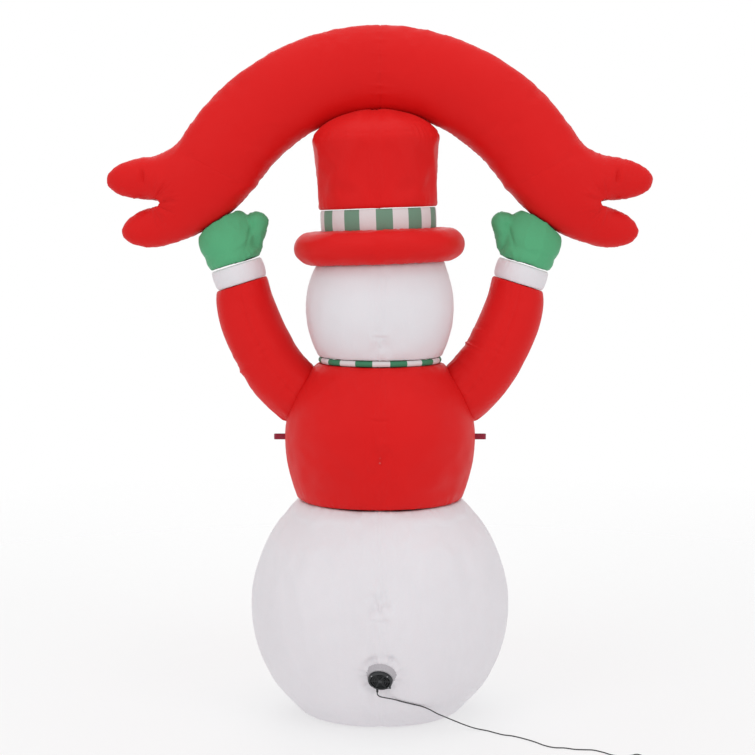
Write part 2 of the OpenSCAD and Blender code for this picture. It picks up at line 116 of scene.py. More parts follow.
# ---------- shader helpers ----------
class Shader:
    """A Principled material with small helpers to wire its nodes."""

    def __init__(self, name, colour, roughness):
        self.material = bpy.data.materials.new(name)
        self.material.use_nodes = True
        self.material.diffuse_color = (*colour, 1)
        self.tree = self.material.node_tree
        self.base = self.tree.nodes["Principled BSDF"]
        self.base.inputs["Base Color"].default_value = (*colour, 1)
        self.base.inputs["Roughness"].default_value = roughness

    def node(self, kind, **values):
        made = self.tree.nodes.new(kind)
        for key, value in values.items():
            if key in made.inputs:
                made.inputs[key].default_value = value
            else:
                setattr(made, key, value)
        return made

    def link(self, out, into):
        self.tree.links.new(out, into)
        return into

    def coords(self, kind="Object"):
        if kind == "cloth":
            made = self.node("ShaderNodeUVMap")
            made.uv_map = "cloth"
            return made.outputs["UV"]
        return self.node("ShaderNodeTexCoord").outputs[kind]

    def noise(self, scale, detail=3, roughness=0.55, where="Object"):
        made = self.node("ShaderNodeTexNoise", Scale=scale, Detail=detail, Roughness=roughness)
        self.link(self.coords(where), made.inputs["Vector"])
        return made.outputs["Fac"]

    def math(self, operation, a, b=0.0):
        made = self.node("ShaderNodeMath", operation=operation)
        for socket, value in zip(made.inputs, (a, b)):
            if isinstance(value, (int, float)):
                socket.default_value = value
            else:
                self.link(value, socket)
        return made.outputs[0]

    def spread(self, fac, low, high, out_low, out_high):
        made = self.node("ShaderNodeMapRange")
        self.link(fac, made.inputs["Value"])
        for key, value in zip(("From Min", "From Max", "To Min", "To Max"), (low, high, out_low, out_high)):
            made.inputs[key].default_value = value
        return made.outputs["Result"]

    def blend(self, fac, first, second):
        made = self.node("ShaderNodeMix", data_type="RGBA")
        self.link(fac, made.inputs["Factor"])
        for socket, value in zip((made.inputs[6], made.inputs[7]), (first, second)):
            if isinstance(value, tuple):
                socket.default_value = (*value, 1)
            else:
                self.link(value, socket)
        return made.outputs[2]

    def colour(self, out):
        self.link(out, self.base.inputs["Base Color"])

    def roughness(self, out):
        self.link(out, self.base.inputs["Roughness"])

    def bump(self, height, distance, strength=1.0):
        """Adds a bump layer on top of the ones already there."""
        made = self.node("ShaderNodeBump", Strength=strength, Distance=distance)
        self.link(height, made.inputs["Height"])
        old = self.base.inputs["Normal"].links
        if old:
            self.link(old[0].from_socket, made.inputs["Normal"])
        self.link(made.outputs["Normal"], self.base.inputs["Normal"])


def shade(colour, factor):
    return tuple(min(1.0, c * factor) for c in colour)


def coated_cloth(name, colour, weave="cloth", gloss=0.44, glow=0.0):
    """Thin coated polyester: a fine plain weave, a soft sheen, faint creases and uneven dye."""
    s = Shader(name, colour, gloss)
    base = s.base.inputs
    base["Specular IOR Level"].default_value = 0.14
    base["Sheen Weight"].default_value = 0.02
    base["Sheen Roughness"].default_value = 0.45
    base["Subsurface Weight"].default_value = glow
    base["Subsurface Radius"].default_value = (0.02, 0.012, 0.012)
    tone = s.blend(s.spread(s.noise(3.2, 4), 0.3, 0.7, 0, 1), shade(colour, 0.97), shade(colour, 1.02))
    fleck = s.spread(s.noise(900, 2), 0.25, 0.75, 0, 1)
    mixed = s.node("ShaderNodeMix", data_type="RGBA", blend_type="MULTIPLY")
    mixed.inputs["Factor"].default_value = 0.08
    s.link(tone, mixed.inputs[6])
    s.link(fleck, mixed.inputs[7])
    s.colour(mixed.outputs[2])
    s.roughness(s.spread(s.noise(14, 3), 0.3, 0.7, gloss - 0.06, gloss + 0.08))
    s.bump(s.noise(6, 2, 0.4), 0.010, 0.16)
    s.bump(s.spread(s.noise(34, 3, 0.5), 0.35, 0.65, 0, 1), 0.0012, 0.16)
    threads = s.node("ShaderNodeSeparateXYZ")
    s.link(s.coords(weave), threads.inputs[0])
    pitch = 2 * math.pi / 0.0011
    warp = s.math("SINE", s.math("MULTIPLY", threads.outputs[0], pitch))
    weft = s.math("SINE", s.math("MULTIPLY", threads.outputs[1], pitch))
    s.bump(s.math("MULTIPLY", warp, weft), 0.00012, 0.5)
    return s.material


def ribbed_webbing(name, colour, pitch=0.0016):
    """Woven polypropylene tape: ribs across it and a coarse, dry surface."""
    s = Shader(name, colour, 0.7)
    s.base.inputs["Sheen Weight"].default_value = 0.25
    axes = s.node("ShaderNodeSeparateXYZ")
    s.link(s.coords(), axes.inputs[0])
    along = s.math("MULTIPLY", s.math("ADD", axes.outputs[0], axes.outputs[1]), 2 * math.pi / pitch)
    across = s.math("MULTIPLY", axes.outputs[2], 2 * math.pi / (pitch * 1.3))
    ribs = s.math("MULTIPLY", s.math("SINE", along), s.math("SINE", across))
    # The colour follows the rib height: painted shade in the rib valleys and a painted highlight on the
    # crests.
    s.colour(s.blend(s.spread(ribs, -1, 1, 0, 1), shade(colour, 0.72), shade(colour, 1.12)))
    s.bump(ribs, 0.0003, 0.8)
    s.bump(s.noise(600, 3), 0.0003, 0.4)
    return s.material


def moulded_plastic(name, colour, roughness=0.45, grain=900):
    """Moulded plastic: fine spark-eroded grain, dust in it and slightly polished patches."""
    s = Shader(name, colour, roughness)
    s.base.inputs["IOR"].default_value = 1.49
    dust = s.spread(s.noise(55, 5, 0.6), 0.5, 0.8, 0, 0.22)
    s.colour(s.blend(dust, colour, shade((c + 0.06 for c in colour), 1.5)))
    s.roughness(s.spread(s.noise(30, 4), 0.3, 0.7, roughness - 0.1, roughness + 0.12))
    s.bump(s.noise(grain, 3), 0.00022, 0.35)
    return s.material


def soft_rubber(name, colour, roughness=0.62):
    """Cord jacket: smooth extruded vinyl with faint drawn lines and a dusting."""
    s = Shader(name, colour, roughness)
    dusty = shade((c + 0.05 for c in colour), 1.2)
    s.colour(s.blend(s.spread(s.noise(120, 4), 0.45, 0.75, 0, 0.35), colour, dusty))
    s.roughness(s.spread(s.noise(40, 3), 0.3, 0.7, roughness - 0.12, roughness + 0.1))
    s.bump(s.noise(1500, 2), 0.0001, 0.25)
    return s.material


def worn_metal(name, colour, roughness=0.3):
    """Plated metal: fine drawn scratches along its length and dull spots."""
    s = Shader(name, colour, roughness)
    s.base.inputs["Metallic"].default_value = 1.0
    stretch = s.node("ShaderNodeMapping")
    stretch.inputs["Scale"].default_value = (2500, 2500, 90)
    s.link(s.coords(), stretch.inputs["Vector"])
    lines = s.node("ShaderNodeTexNoise", Scale=1.0, Detail=3)
    s.link(stretch.outputs[0], lines.inputs["Vector"])
    s.colour(s.blend(s.spread(s.noise(80, 4), 0.4, 0.7, 0, 1), colour, shade(colour, 0.8)))
    s.roughness(s.spread(lines.outputs["Fac"], 0.3, 0.7, roughness - 0.1, roughness + 0.15))
    s.bump(lines.outputs["Fac"], 0.00008, 0.4)
    return s.material


def clear_lamp(name):
    """Moulded lamp lens: cloudy, slightly uneven plastic."""
    s = Shader(name, (0.86, 0.86, 0.82), 0.2)
    s.base.inputs["Transmission Weight"].default_value = 0.35
    s.colour(s.blend(s.noise(400, 3), (0.84, 0.84, 0.80), (0.92, 0.92, 0.88)))
    s.bump(s.noise(500, 2), 0.0001, 0.3)
    return s.material


WHITE = (0.815, 0.785, 0.82)
RED = (0.72, 0.008, 0.008)
GREEN = (0.10, 0.42, 0.205)
MATERIALS = {
    "white": coated_cloth("white_coated_cloth", WHITE, glow=0.06),
    # The neck cloth is the white cloth; its grey colour is painted shade for the shadowed, gathered neck
    # above the blower.
    "neck": coated_cloth("grey_neck_cloth", (0.48, 0.455, 0.485)),
    "red": coated_cloth("red_coated_cloth", RED),
    "green": coated_cloth("green_coated_cloth", GREEN),
    "scarf_green": coated_cloth("scarf_green_cloth", (0.055, 0.235, 0.125)),
    "band_green": coated_cloth("band_green_cloth", (0.17, 0.30, 0.215)),
    "band_white": coated_cloth("band_white_cloth", (0.76, 0.70, 0.71)),
    "orange": coated_cloth("orange_coated_cloth", (0.86, 0.22, 0.02)),
    "black": coated_cloth("black_coated_cloth", (0.012, 0.012, 0.014)),
    "webbing": ribbed_webbing("wine_webbing", (0.33, 0.012, 0.045)),
    "tape": ribbed_webbing("white_tie_tape", (0.75, 0.75, 0.75), 0.0022),
    "thread_red": ribbed_webbing("red_thread", (0.42, 0.01, 0.02), 0.0009),
    "thread_white": ribbed_webbing("white_thread", (0.78, 0.77, 0.78), 0.0009),
    "thread_black": ribbed_webbing("black_thread", (0.05, 0.05, 0.055), 0.0009),
    "blower": moulded_plastic("blower_black_plastic", (0.014, 0.016, 0.019), 0.42),
    "fan": moulded_plastic("fan_black_plastic", (0.02, 0.021, 0.024), 0.5),
    "tie": moulded_plastic("pale_nylon_tie", (0.50, 0.49, 0.51), 0.4, 1400),
    "adapter": moulded_plastic("adapter_black_plastic", (0.018, 0.018, 0.021), 0.5, 1100),
    "lead": soft_rubber("pale_lead_jacket", (0.68, 0.68, 0.68)),
    "cord": soft_rubber("black_cord_jacket", (0.022, 0.022, 0.026)),
    "steel": worn_metal("plated_steel", (0.60, 0.60, 0.62)),
    "brass": worn_metal("bush_brass", (0.75, 0.55, 0.25)),
    "lamp": clear_lamp("lamp_lens"),
}


# ---------- smooth seeded noise ----------
def noise2(x, y, seed, wrap=0):
    """Smooth noise from -1 to 1 over two arrays. With wrap, it repeats every wrap cells along x."""
    table = np.random.default_rng(seed).uniform(-1, 1, (512, 512))
    xi, yi = np.floor(x).astype(int), np.floor(y).astype(int)
    fx, fy = x - xi, y - yi
    sx, sy = fx * fx * (3 - 2 * fx), fy * fy * (3 - 2 * fy)
    span = wrap if wrap else 512
    x0, x1 = xi % span, (xi + 1) % span
    y0, y1 = yi % 512, (yi + 1) % 512
    low = table[x0, y0] * (1 - sx) + table[x1, y0] * sx
    high = table[x0, y1] * (1 - sx) + table[x1, y1] * sx
    return low * (1 - sy) + high * sy


def creases(x, y, seed, wrap=0):
    """Folds with rounded tops and sharp valleys, from about -1 to 1."""
    if wrap:
        fine = noise2(2 * x, 1.7 * y, seed + 1, 2 * wrap)
    else:
        fine = noise2(2.3 * x + 7, 1.7 * y, seed + 1)
    mixed = 0.7 * noise2(x, y, seed, wrap) + 0.3 * fine
    return 1 - 2.4 * np.abs(mixed) ** 0.75


# ---------- mesh helpers ----------
def link_piece(name, mesh, materials):
    for material in materials:
        mesh.materials.append(material)
    piece = bpy.data.objects.new(name, mesh)
    bpy.context.collection.objects.link(piece)
    for polygon in mesh.polygons:
        polygon.use_smooth = True
    return piece


def grid_piece(name, points, materials, size, closed=True, flip=False, pick=None):
    """A mesh over a grid of points[row, column]. size is the cloth's (width, height), for its weave."""
    rows, cols = points.shape[:2]
    last = cols if closed else cols - 1
    faces, uvs, which = [], [], []
    for i in range(rows - 1):
        for j in range(last):
            k = (j + 1) % cols
            face = [i * cols + j, i * cols + k, (i + 1) * cols + k, (i + 1) * cols + j]
            corner = [(j, i), (j + 1, i), (j + 1, i + 1), (j, i + 1)]
            if flip:
                face.reverse()
                corner.reverse()
            faces.append(face)
            uvs.extend((size[0] * u / last, size[1] * v / (rows - 1)) for u, v in corner)
            which.append(pick(i, j) if pick else 0)
    mesh = bpy.data.meshes.new(name)
    mesh.from_pydata([tuple(p) for p in points.reshape(-1, 3)], [], faces)
    layer = mesh.uv_layers.new(name="cloth")
    layer.data.foreach_set("uv", np.array(uvs, dtype=float).ravel())
    piece = link_piece(name, mesh, materials)
    mesh.polygons.foreach_set("material_index", which)
    return piece


def transform(points, matrix):
    m = np.array(matrix)
    return points @ m[:3, :3].T + m[:3, 3]


def cubic_weights(t):
    return (0.5 * (-t + 2 * t * t - t ** 3), 0.5 * (2 - 5 * t * t + 3 * t ** 3),
            0.5 * (t + 4 * t * t - 3 * t ** 3), 0.5 * (t ** 3 - t * t))


def resize(field, count, wrap):
    """Smoothly resamples an array along its first axis to count entries."""
    n = len(field)
    place = np.arange(count) * (n / count if wrap else (n - 1) / (count - 1))
    start = np.floor(place).astype(int)
    parts = cubic_weights((place - start).reshape((-1,) + (1,) * (field.ndim - 1)))
    total = 0
    for step, weight in zip((-1, 0, 1, 2), parts):
        index = (start + step) % n if wrap else np.clip(start + step, 0, n - 1)
        total = total + weight * field[index]
    return total


def stretch_grid(field, rows, cols, wrap=True):
    tall = resize(field, rows, False)
    return resize(tall.transpose(1, 0, 2), cols, wrap).transpose(1, 0, 2)


# ---------- cloth simulation ----------
SIMULATED = []
SIM_FRAMES = 16


def blow_up(piece, hold, sewn, pressure, shrink, stiffness=12.0):
    """Queues a piece for the shared simulation. hold and sewn are one weight for each point."""
    for name, weights in (("hold", hold), ("sewn", sewn)):
        group = piece.vertex_groups.new(name=name)
        for level in range(1, 11):
            chosen = np.nonzero(np.round(np.asarray(weights) * 10) == level)[0]
            if len(chosen):
                group.add([int(i) for i in chosen], level / 10, "REPLACE")
    cloth = piece.modifiers.new("cloth", "CLOTH")
    s = cloth.settings
    s.quality = 5
    s.mass = 0.15
    s.tension_stiffness = stiffness
    s.compression_stiffness = stiffness
    s.shear_stiffness = stiffness * 0.4
    s.bending_stiffness = 0.08
    s.use_pressure = True
    s.uniform_pressure_force = pressure
    s.vertex_group_mass = "hold"
    s.vertex_group_shrink = "sewn"
    s.shrink_min = 0.0
    s.shrink_max = shrink
    s.effector_weights.gravity = 0
    cloth.collision_settings.use_collision = False
    cloth.collision_settings.use_self_collision = False
    cloth.point_cache.frame_end = SIM_FRAMES
    SIMULATED.append(piece)


def run_simulation():
    """Steps every queued piece together, and returns how far each of its points moved."""
    before = {p.name: read_points(p.data) for p in SIMULATED}
    scene = bpy.context.scene
    for step in range(1, SIM_FRAMES + 1):
        scene.frame_set(step)
    graph = bpy.context.evaluated_depsgraph_get()
    moved = {}
    for piece in SIMULATED:
        moved[piece.name] = read_points(piece.evaluated_get(graph).data) - before[piece.name]
        piece.modifiers.clear()
    scene.frame_set(1)
    SIMULATED.clear()
    return moved


def read_points(mesh):
    flat = np.empty(len(mesh.vertices) * 3)
    mesh.vertices.foreach_get("co", flat)
    return flat.reshape(-1, 3)


def capped(shift, cap):
    """Limits each shift's length softly to cap."""
    size = np.linalg.norm(shift, axis=-1, keepdims=True)
    return shift * (cap * np.tanh(size / cap) / np.maximum(size, 1e-9))


def soften_grid(field, passes):
    for _ in range(passes):
        padded = np.concatenate((field[:1], field, field[-1:]))
        field = 0.25 * padded[:-2] + 0.5 * field + 0.25 * padded[2:]
        field = 0.25 * np.roll(field, 1, axis=1) + 0.5 * field + 0.25 * np.roll(field, -1, axis=1)
    return field


def grid_ripples(moved, share=0.6):
    """The folds in a grid's shift, without its broad part and without the mesh's own grain."""
    folds = soften_grid(moved, 3)
    return share * (folds - soften_grid(folds, 26))


def mesh_ripples(mesh, moved, share=0.6):
    """The same for a piece that is not a grid, smoothed along its edges."""
    ends = np.empty(len(mesh.edges) * 2, dtype=int)
    mesh.edges.foreach_get("vertices", ends)
    a, b = ends[0::2], ends[1::2]
    count = np.maximum(np.bincount(ends, minlength=len(moved)), 1)[:, None]

    def soften(field, passes):
        for _ in range(passes):
            total = np.empty_like(field)
            for axis in range(3):
                total[:, axis] = (np.bincount(a, field[b, axis], len(field))
                                  + np.bincount(b, field[a, axis], len(field)))
            field = 0.5 * field + 0.5 * total / count
        return field
    folds = soften(moved, 4)
    return share * (folds - soften(folds, 40))


# ---------- bodies of revolution ----------
def barrel(z, middle, radius, below, above):
    reach = np.where(z < middle, below, above)
    return radius * np.sqrt(np.maximum(0, 1 - ((z - middle) / reach) ** 2))


class Revolved:
    """A sewn skin of revolution. Angle 0 is the back, +Y, and it grows towards +X."""

    def __init__(self, name, profile, coarse, fine, details, seams=(), place=Matrix.Identity(4),
                 crowd=0.0, cap=0.010, push=1.0, tuck=(0.010, 0.010), groove=True):
        self.name, self.profile, self.coarse, self.fine = name, np.array(profile), coarse, fine
        self.details, self.seams, self.place, self.crowd = details, seams, place, crowd
        self.cap, self.push, self.tuck, self.groove = cap, push, tuck, groove
        steps = np.linalg.norm(np.diff(self.profile, axis=0), axis=1)
        self.along = np.concatenate(([0], np.cumsum(steps)))
        self.height = self.along[-1]

    def at(self, z):
        """Distance up the profile at which it first reaches height z."""
        return self.along[int(np.argmax(self.profile[:, 1] >= z))]

    def rows(self, count):
        s = np.linspace(0, self.height, count)
        r = np.interp(s, self.along, self.profile[:, 0])
        z = np.interp(s, self.along, self.profile[:, 1])
        for _ in range(2):
            r[1:-1] = 0.25 * r[:-2] + 0.5 * r[1:-1] + 0.25 * r[2:]
            z[1:-1] = 0.25 * z[:-2] + 0.5 * z[1:-1] + 0.25 * z[2:]
        return s, r, z

    def points(self, count, cols, detailed):
        """Points of a grid of count rows, and their angle, distance up the profile and radius."""
        s, r, z = self.rows(count)
        turn = 2 * math.pi * np.arange(cols) / cols
        angle, s2 = np.meshgrid(turn - self.crowd * np.sin(turn), s)
        r2 = np.repeat(r[:, None], cols, axis=1)
        z2 = np.repeat(z[:, None], cols, axis=1)
        slope_r, slope_z = np.gradient(r, s), np.gradient(z, s)
        length = np.maximum(np.hypot(slope_r, slope_z), 1e-9)
        normal_r, normal_z = (slope_z / length)[:, None], (-slope_r / length)[:, None]
        off = self.details(self, angle, s2, r2) if detailed else np.zeros_like(r2)
        r3, z3 = r2 + off * normal_r, z2 + off * normal_z
        return np.stack((r3 * np.sin(angle), r3 * np.cos(angle), z3), axis=-1), angle, s2, r2

    def prepare(self):
        """Makes the coarse piece for the simulation."""
        points, angle, s, r = self.points(*self.coarse, False)
        draft = grid_piece(self.name + "_draft", points, [], (1, 1))
        edge = np.minimum(s, self.height - s) if self.groove else s * 0 + 1
        hold = np.clip(1 - edge / 0.004, 0, 1)
        sewn = np.clip(1 - seam_distance(angle, r, self.seams) / 0.014, 0, 1) if self.seams else s * 0
        sewn = np.maximum(sewn, np.clip(1 - edge / 0.03, 0, 1) * 0.8)
        blow_up(draft, hold.ravel(), sewn.ravel(), self.push, 0.05)
        return draft

    def finish(self, materials, moved=None, pick=None, reshape=None):
        """Makes the fine piece, with the simulated shift and the details on it."""
        rows, cols = self.fine
        points, angle, s, r = self.points(rows, cols, True)
        if moved is not None:
            shift = capped(grid_ripples(moved.reshape(*self.coarse, 3)), self.cap)
            over_tape = np.exp(-(np.abs(np.sin(angle)) * r / 0.016) ** 4)[..., None]
            points = points + stretch_grid(shift, rows, cols) * (1 - 0.85 * over_tape)
        if reshape:
            points = reshape(points)
        points = self.add_tucks(points)
        points = transform(points, self.place)
        size = (2 * math.pi * self.profile[:, 0].max(), self.height)
        return grid_piece(self.name, points, materials, size, flip=False, pick=pick)

    def add_tucks(self, points):
        """Turns the seam allowance at both ends inwards."""
        parts = [points]
        for end, depth in ((0, self.tuck[0]), (-1, self.tuck[1])):
            if not depth:
                continue
            ring = points[end]
            radius = np.maximum(np.hypot(ring[:, 0], ring[:, 1]), 1e-9)[:, None]
            flap = ring.copy()
            flap[:, :2] *= 1 - depth / radius
            parts = [flap[None], *parts] if end == 0 else [*parts, flap[None]]
        return np.concatenate(parts)


def seam_distance(angle, r, seams):
    """Unsigned distance round the body from the nearest upright seam."""
    near = np.full_like(r, 9.0)
    for seam in seams:
        turn = (angle - seam + math.pi) % (2 * math.pi) - math.pi
        near = np.minimum(near, np.abs(turn) * np.maximum(r, 0.02))
    return near


def upright_seams(angle, s, r, seams, seed, depth=0.003, pucker=0.0022, reach=0.03, pitch=0.028):
    """A stitched valley along each seam, with short puckers that run out of it on both sides."""
    off = np.zeros_like(r)
    for number, seam in enumerate(seams):
        turn = (angle - seam + math.pi) % (2 * math.pi) - math.pi
        d = turn * np.maximum(r, 0.02)
        side = np.where(d > 0, 0.0, 40.0)
        run = reach * (0.7 + 0.5 * noise2(s / 0.07, side + number, seed + 5))
        off -= depth * np.exp(-(d / 0.0035) ** 2) + 0.4 * depth * np.exp(-np.abs(d) / 0.012)
        fold = creases(s / pitch + 3 * number, side + d / 0.09, seed + number)
        off += pucker * fold * np.exp(-np.abs(d) / np.maximum(run, 0.008)) * (1 - np.exp(-(d / 0.003) ** 2))
    return off


def edge_gathers(angle, edge, seed, cells, amount=0.003, reach=0.035, depth=0.004):
    """Gathers along a seam that goes round the body; edge is the distance from it."""
    around = cells * (angle % (2 * math.pi)) / (2 * math.pi)
    run = reach * (0.75 + 0.6 * noise2(around * 0.5, edge * 0, seed + 3, max(1, cells // 2)))
    fold = creases(around, edge / 0.12, seed, cells)
    valley = depth * np.exp(-edge / 0.006)
    return amount * fold * np.exp(-edge / np.maximum(run, 0.01)) * np.clip(edge / 0.006, 0.25, 1) - valley


def gore_swell(angle, gores, amount):
    """How far each gore stands out between its seams."""
    return amount * (np.abs(np.sin(angle * gores / 2)) ** 0.7 - 0.15)


def tack(angle, s, r, at, seam, seed, depth=0.010, size=0.020, folds=7):
    """The dimple where an inner tie is sewn to a seam, with folds that radiate from it."""
    turn = (angle - seam + math.pi) % (2 * math.pi) - math.pi
    x, y = turn * r, (s - at) * 0.7
    far = np.hypot(x, y) + 1e-6
    star = np.cos(folds * np.arctan2(y, x) + 1.3 * noise2(far / 0.03, far * 0 + seed, seed))
    ring = np.exp(-((far - 1.5 * size) / (0.9 * size)) ** 2)
    tape = 1 - 0.80 * np.exp(-(x / 0.005) ** 4 - (y / 0.011) ** 4)
    return -depth * tape * np.exp(-(far / size) ** 2) + 0.34 * depth * star * ring


def short_crease(angle, s, r, at, seam, half, depth):
    """A level crease across a seam, with cloth heaped up on its upper side."""
    turn = (angle - seam + math.pi) % (2 * math.pi) - math.pi
    x, y = turn * r, s - at
    y = y - 0.10 * np.abs(x)
    length = np.exp(-(x / half) ** 4)
    return depth * length * (0.6 * np.exp(-((y - 0.012) / 0.009) ** 2) - np.exp(-(y / 0.005) ** 2))


QUARTERS = [k * math.pi / 2 for k in range(4)]
SIDES = [math.pi / 2, 3 * math.pi / 2]
MIDDLES = [0.0, math.pi]


def flat_seam(angle, s, r, seams, seed):
    """A seam with its allowance pressed flat behind it: a low ridge with faint puckers."""
    off = np.zeros_like(r)
    for number, seam in enumerate(seams):
        turn = (angle - seam + math.pi) % (2 * math.pi) - math.pi
        d = turn * np.maximum(r, 0.02)
        fold = creases(s / 0.04 + 5 * number, d / 0.05 + 20, seed + number)
        off += (0.0011 * np.exp(-(d / 0.0045) ** 2) - 0.0005 * np.exp(-((np.abs(d) - 0.008) / 0.003) ** 2)
                + 0.0005 * fold * np.exp(-np.abs(d) / 0.02))
    return off


def base_ease(s):
    """Softens the ball's folds where it lies on the ground panel."""
    return np.clip(s / 0.12, 0, 1)


def ball_details(body, angle, s, r):
    off = gore_swell(angle, 4, 0.0012) * base_ease(s)
    off += upright_seams(angle, s, r, SIDES, 11, 0.0022, 0.0024, 0.034) * base_ease(s)
    off += flat_seam(angle, s, r, MIDDLES, 13) * base_ease(s)
    off += edge_gathers(angle, body.height - s, 21, 74, 0.0024, 0.035)
    off += 0.6 * edge_gathers(angle, s, 25, 60, 0.004, 0.05, 0.0) * base_ease(s)
    level = body.at(0.455)
    for seam in (0, math.pi):
        off += tack(angle, s, r, level, seam, 31, 0.0080, 0.022, 5)
        off += short_crease(angle, s, r, level - 0.048, seam, 0.030, 0.0022)
    return off


def torso_details(body, angle, s, r):
    off = gore_swell(angle, 4, 0.0012)
    off += upright_seams(angle, s, r, SIDES, 41, 0.0022, 0.0024, 0.030)
    off += flat_seam(angle, s, r, MIDDLES, 43)
    off += edge_gathers(angle, s, 45, 74, 0.0024, 0.032)
    off += edge_gathers(angle, body.height - s, 48, 56, 0.0022, 0.026)
    level = body.at(0.930)
    for seam, depth in ((0, 0.0090), (math.pi, 0.0030)):
        off += tack(angle, s, r, level, seam, 51, depth, 0.024, 3)
        off += short_crease(angle, s, r, level + 0.128, seam, 0.034, 0.0024)
    return off


def head_details(body, angle, s, r):
    off = gore_swell(angle, 4, 0.0010)
    off += upright_seams(angle, s, r, SIDES, 61, 0.0020, 0.002, 0.024)
    off += flat_seam(angle, s, r, MIDDLES, 63)
    off += edge_gathers(angle, s, 65, 52, 0.0022, 0.028)
    off += edge_gathers(angle, body.height - s, 68, 52, 0.0020, 0.024)
    level = body.at(1.312)
    for seam in (0, math.pi):
        off += tack(angle, s, r, level, seam, 71, 0.0060, 0.020, 3)
        off += short_crease(angle, s, r, level + 0.020, seam, 0.026, 0.0020)
    return off


def brim_details(body, angle, s, r):
    off = 0.0012 * noise2(angle * 9 / math.pi, s / 0.1, 81, 18)
    off += edge_gathers(angle, s, 82, 84, 0.0026, 0.04)
    off += edge_gathers(angle, body.height - s, 85, 84, 0.0026, 0.04)
    off += upright_seams(angle, s, r, (math.pi,), 88, 0.002, 0.0015, 0.02)
    return off


def band_details(body, angle, s, r):
    off = edge_gathers(angle, s, 91, 60, 0.0014, 0.02, 0.002)
    return off + edge_gathers(angle, body.height - s, 93, 60, 0.0014, 0.02, 0.002)


def crown_details(body, angle, s, r):
    ease = np.clip(r / 0.06, 0, 1)
    off = gore_swell(angle, 4, 0.0010) * ease
    off += upright_seams(angle, s, r, SIDES, 101, 0.0020, 0.002, 0.022) * ease
    off += flat_seam(angle, s, r, MIDDLES, 103) * ease
    off += edge_gathers(angle, s, 105, 60, 0.0022, 0.026)
    shoulder = np.abs(s - body.at(CROWN_WALL + 0.02))
    return off + 0.7 * edge_gathers(angle, shoulder, 108, 66, 0.0028, 0.03, 0.0018) * ease


def ball_profile():
    z = np.linspace(0.012, BALL_TOP, 160)
    side = np.stack((barrel(z, BALL_MID, BALL_R, 0.470, 0.470), z), axis=-1)
    foot = np.array([(BASE_R + 0.001, PANEL_T), (BASE_R + 0.030, PANEL_T + 0.001),
                     (BASE_R + 0.056, PANEL_T + 0.004)])
    return np.concatenate((foot, side))


def torso_profile():
    z = np.linspace(BALL_TOP, SCARF_Z0, 120)
    return np.stack((barrel(z, TORSO_MID, TORSO_R, 0.419, TORSO_UP), z), axis=-1)


def scarf_profile():
    z = np.linspace(SCARF_Z0, SCARF_Z1, 24)
    swell = 0.0035 * np.sin(math.pi * (z - SCARF_Z0) / (SCARF_Z1 - SCARF_Z0))
    return np.stack((SCARF_R + swell, z), axis=-1)


def head_profile():
    z = np.linspace(SCARF_Z1, HAT_Z, 120)
    return np.stack((barrel(z, HEAD_MID, HEAD_R, 0.292, 0.295), z), axis=-1)


def lean_head(points):
    """Slides the head's upper rows so that they end on the leaning brim."""
    z = points[..., 2]
    lift = np.clip((z - 1.48) / (HAT_Z - 1.48), 0, 1) ** 2
    points = points.copy()
    points[..., 2] = z - lift * points[..., 0] * math.tan(HAT_TILT)
    return points


def brim_profile():
    half = BRIM_H / 2
    turn = np.linspace(-math.pi / 2, math.pi / 2, 60)
    middle = BRIM_R - 0.048
    roll = np.stack((middle + 0.048 * np.cos(turn), half + (half + 0.003) * np.sin(turn)), axis=-1)
    return np.concatenate(([(0.215, 0.0)], roll, [(CROWN_R + 0.001, BRIM_H)]))


def band_profile():
    z = np.linspace(0, BAND_H, 30)
    swell = 0.002 * np.sin(math.pi * z / BAND_H) ** 0.5
    return np.stack((CROWN_R - 0.001 + swell, z), axis=-1)


def crown_profile():
    z = np.linspace(0, CROWN_WALL, 60)
    swell = 0.003
    radius = CROWN_R + swell * np.clip(z / 0.01, 0, 1) + (CROWN_TOP_R - CROWN_R - swell) * z / CROWN_WALL
    wall = np.stack((radius, z), axis=-1)
    turn = np.linspace(0.03, math.pi / 2 - 0.02, 60)
    dome = np.stack((CROWN_TOP_R * np.cos(turn), CROWN_WALL + DOME_H * np.sin(turn)), axis=-1)
    return np.concatenate((wall, dome))


# ---------- cloth drawn to the blower ----------
NECK_R = 0.0445
NECK_Z = -0.027


def draw_to_blower(points):
    """Pulls the ball's cloth into a gathered neck around the blower."""
    local = transform(points, BLOWER.inverted())
    far = np.hypot(local[..., 0], local[..., 1])
    turn = np.arctan2(local[..., 1], local[..., 0])
    near = (far < 0.16) & (np.abs(local[..., 2]) < 0.12)
    out = np.maximum(far - NECK_R, 0)
    pull = np.exp(-out / 0.010)
    folds = np.cos(13 * turn + 0.9 * np.sin(3 * turn)) + 0.5 * np.cos(22 * turn + 1.0)
    level = local[..., 2] + (NECK_Z - local[..., 2]) * pull
    level = level - 0.004 * np.exp(-((out - 0.016) / 0.012) ** 2)
    for across in (-0.030, 0.028):
        dip = ((local[..., 0] - across) / 0.017) ** 2 + ((local[..., 1] + 0.048) / 0.012) ** 2
        level = level - 0.012 * np.exp(-dip)
    level = level + 0.0030 * folds * np.exp(-out / 0.022) * np.clip(out / 0.004, 0, 1)
    inside = far < NECK_R
    scale = np.where(inside, NECK_R / np.maximum(far, 1e-6), 1.0)
    fixed = local.copy()
    fixed[..., 2] = level
    fixed[..., 0] = np.where(inside & (far > 0.03), local[..., 0] * scale, local[..., 0])
    fixed[..., 1] = np.where(inside & (far > 0.03), local[..., 1] * scale, local[..., 1])
    world = transform(fixed, BLOWER)
    return np.where(near[..., None], world, points)


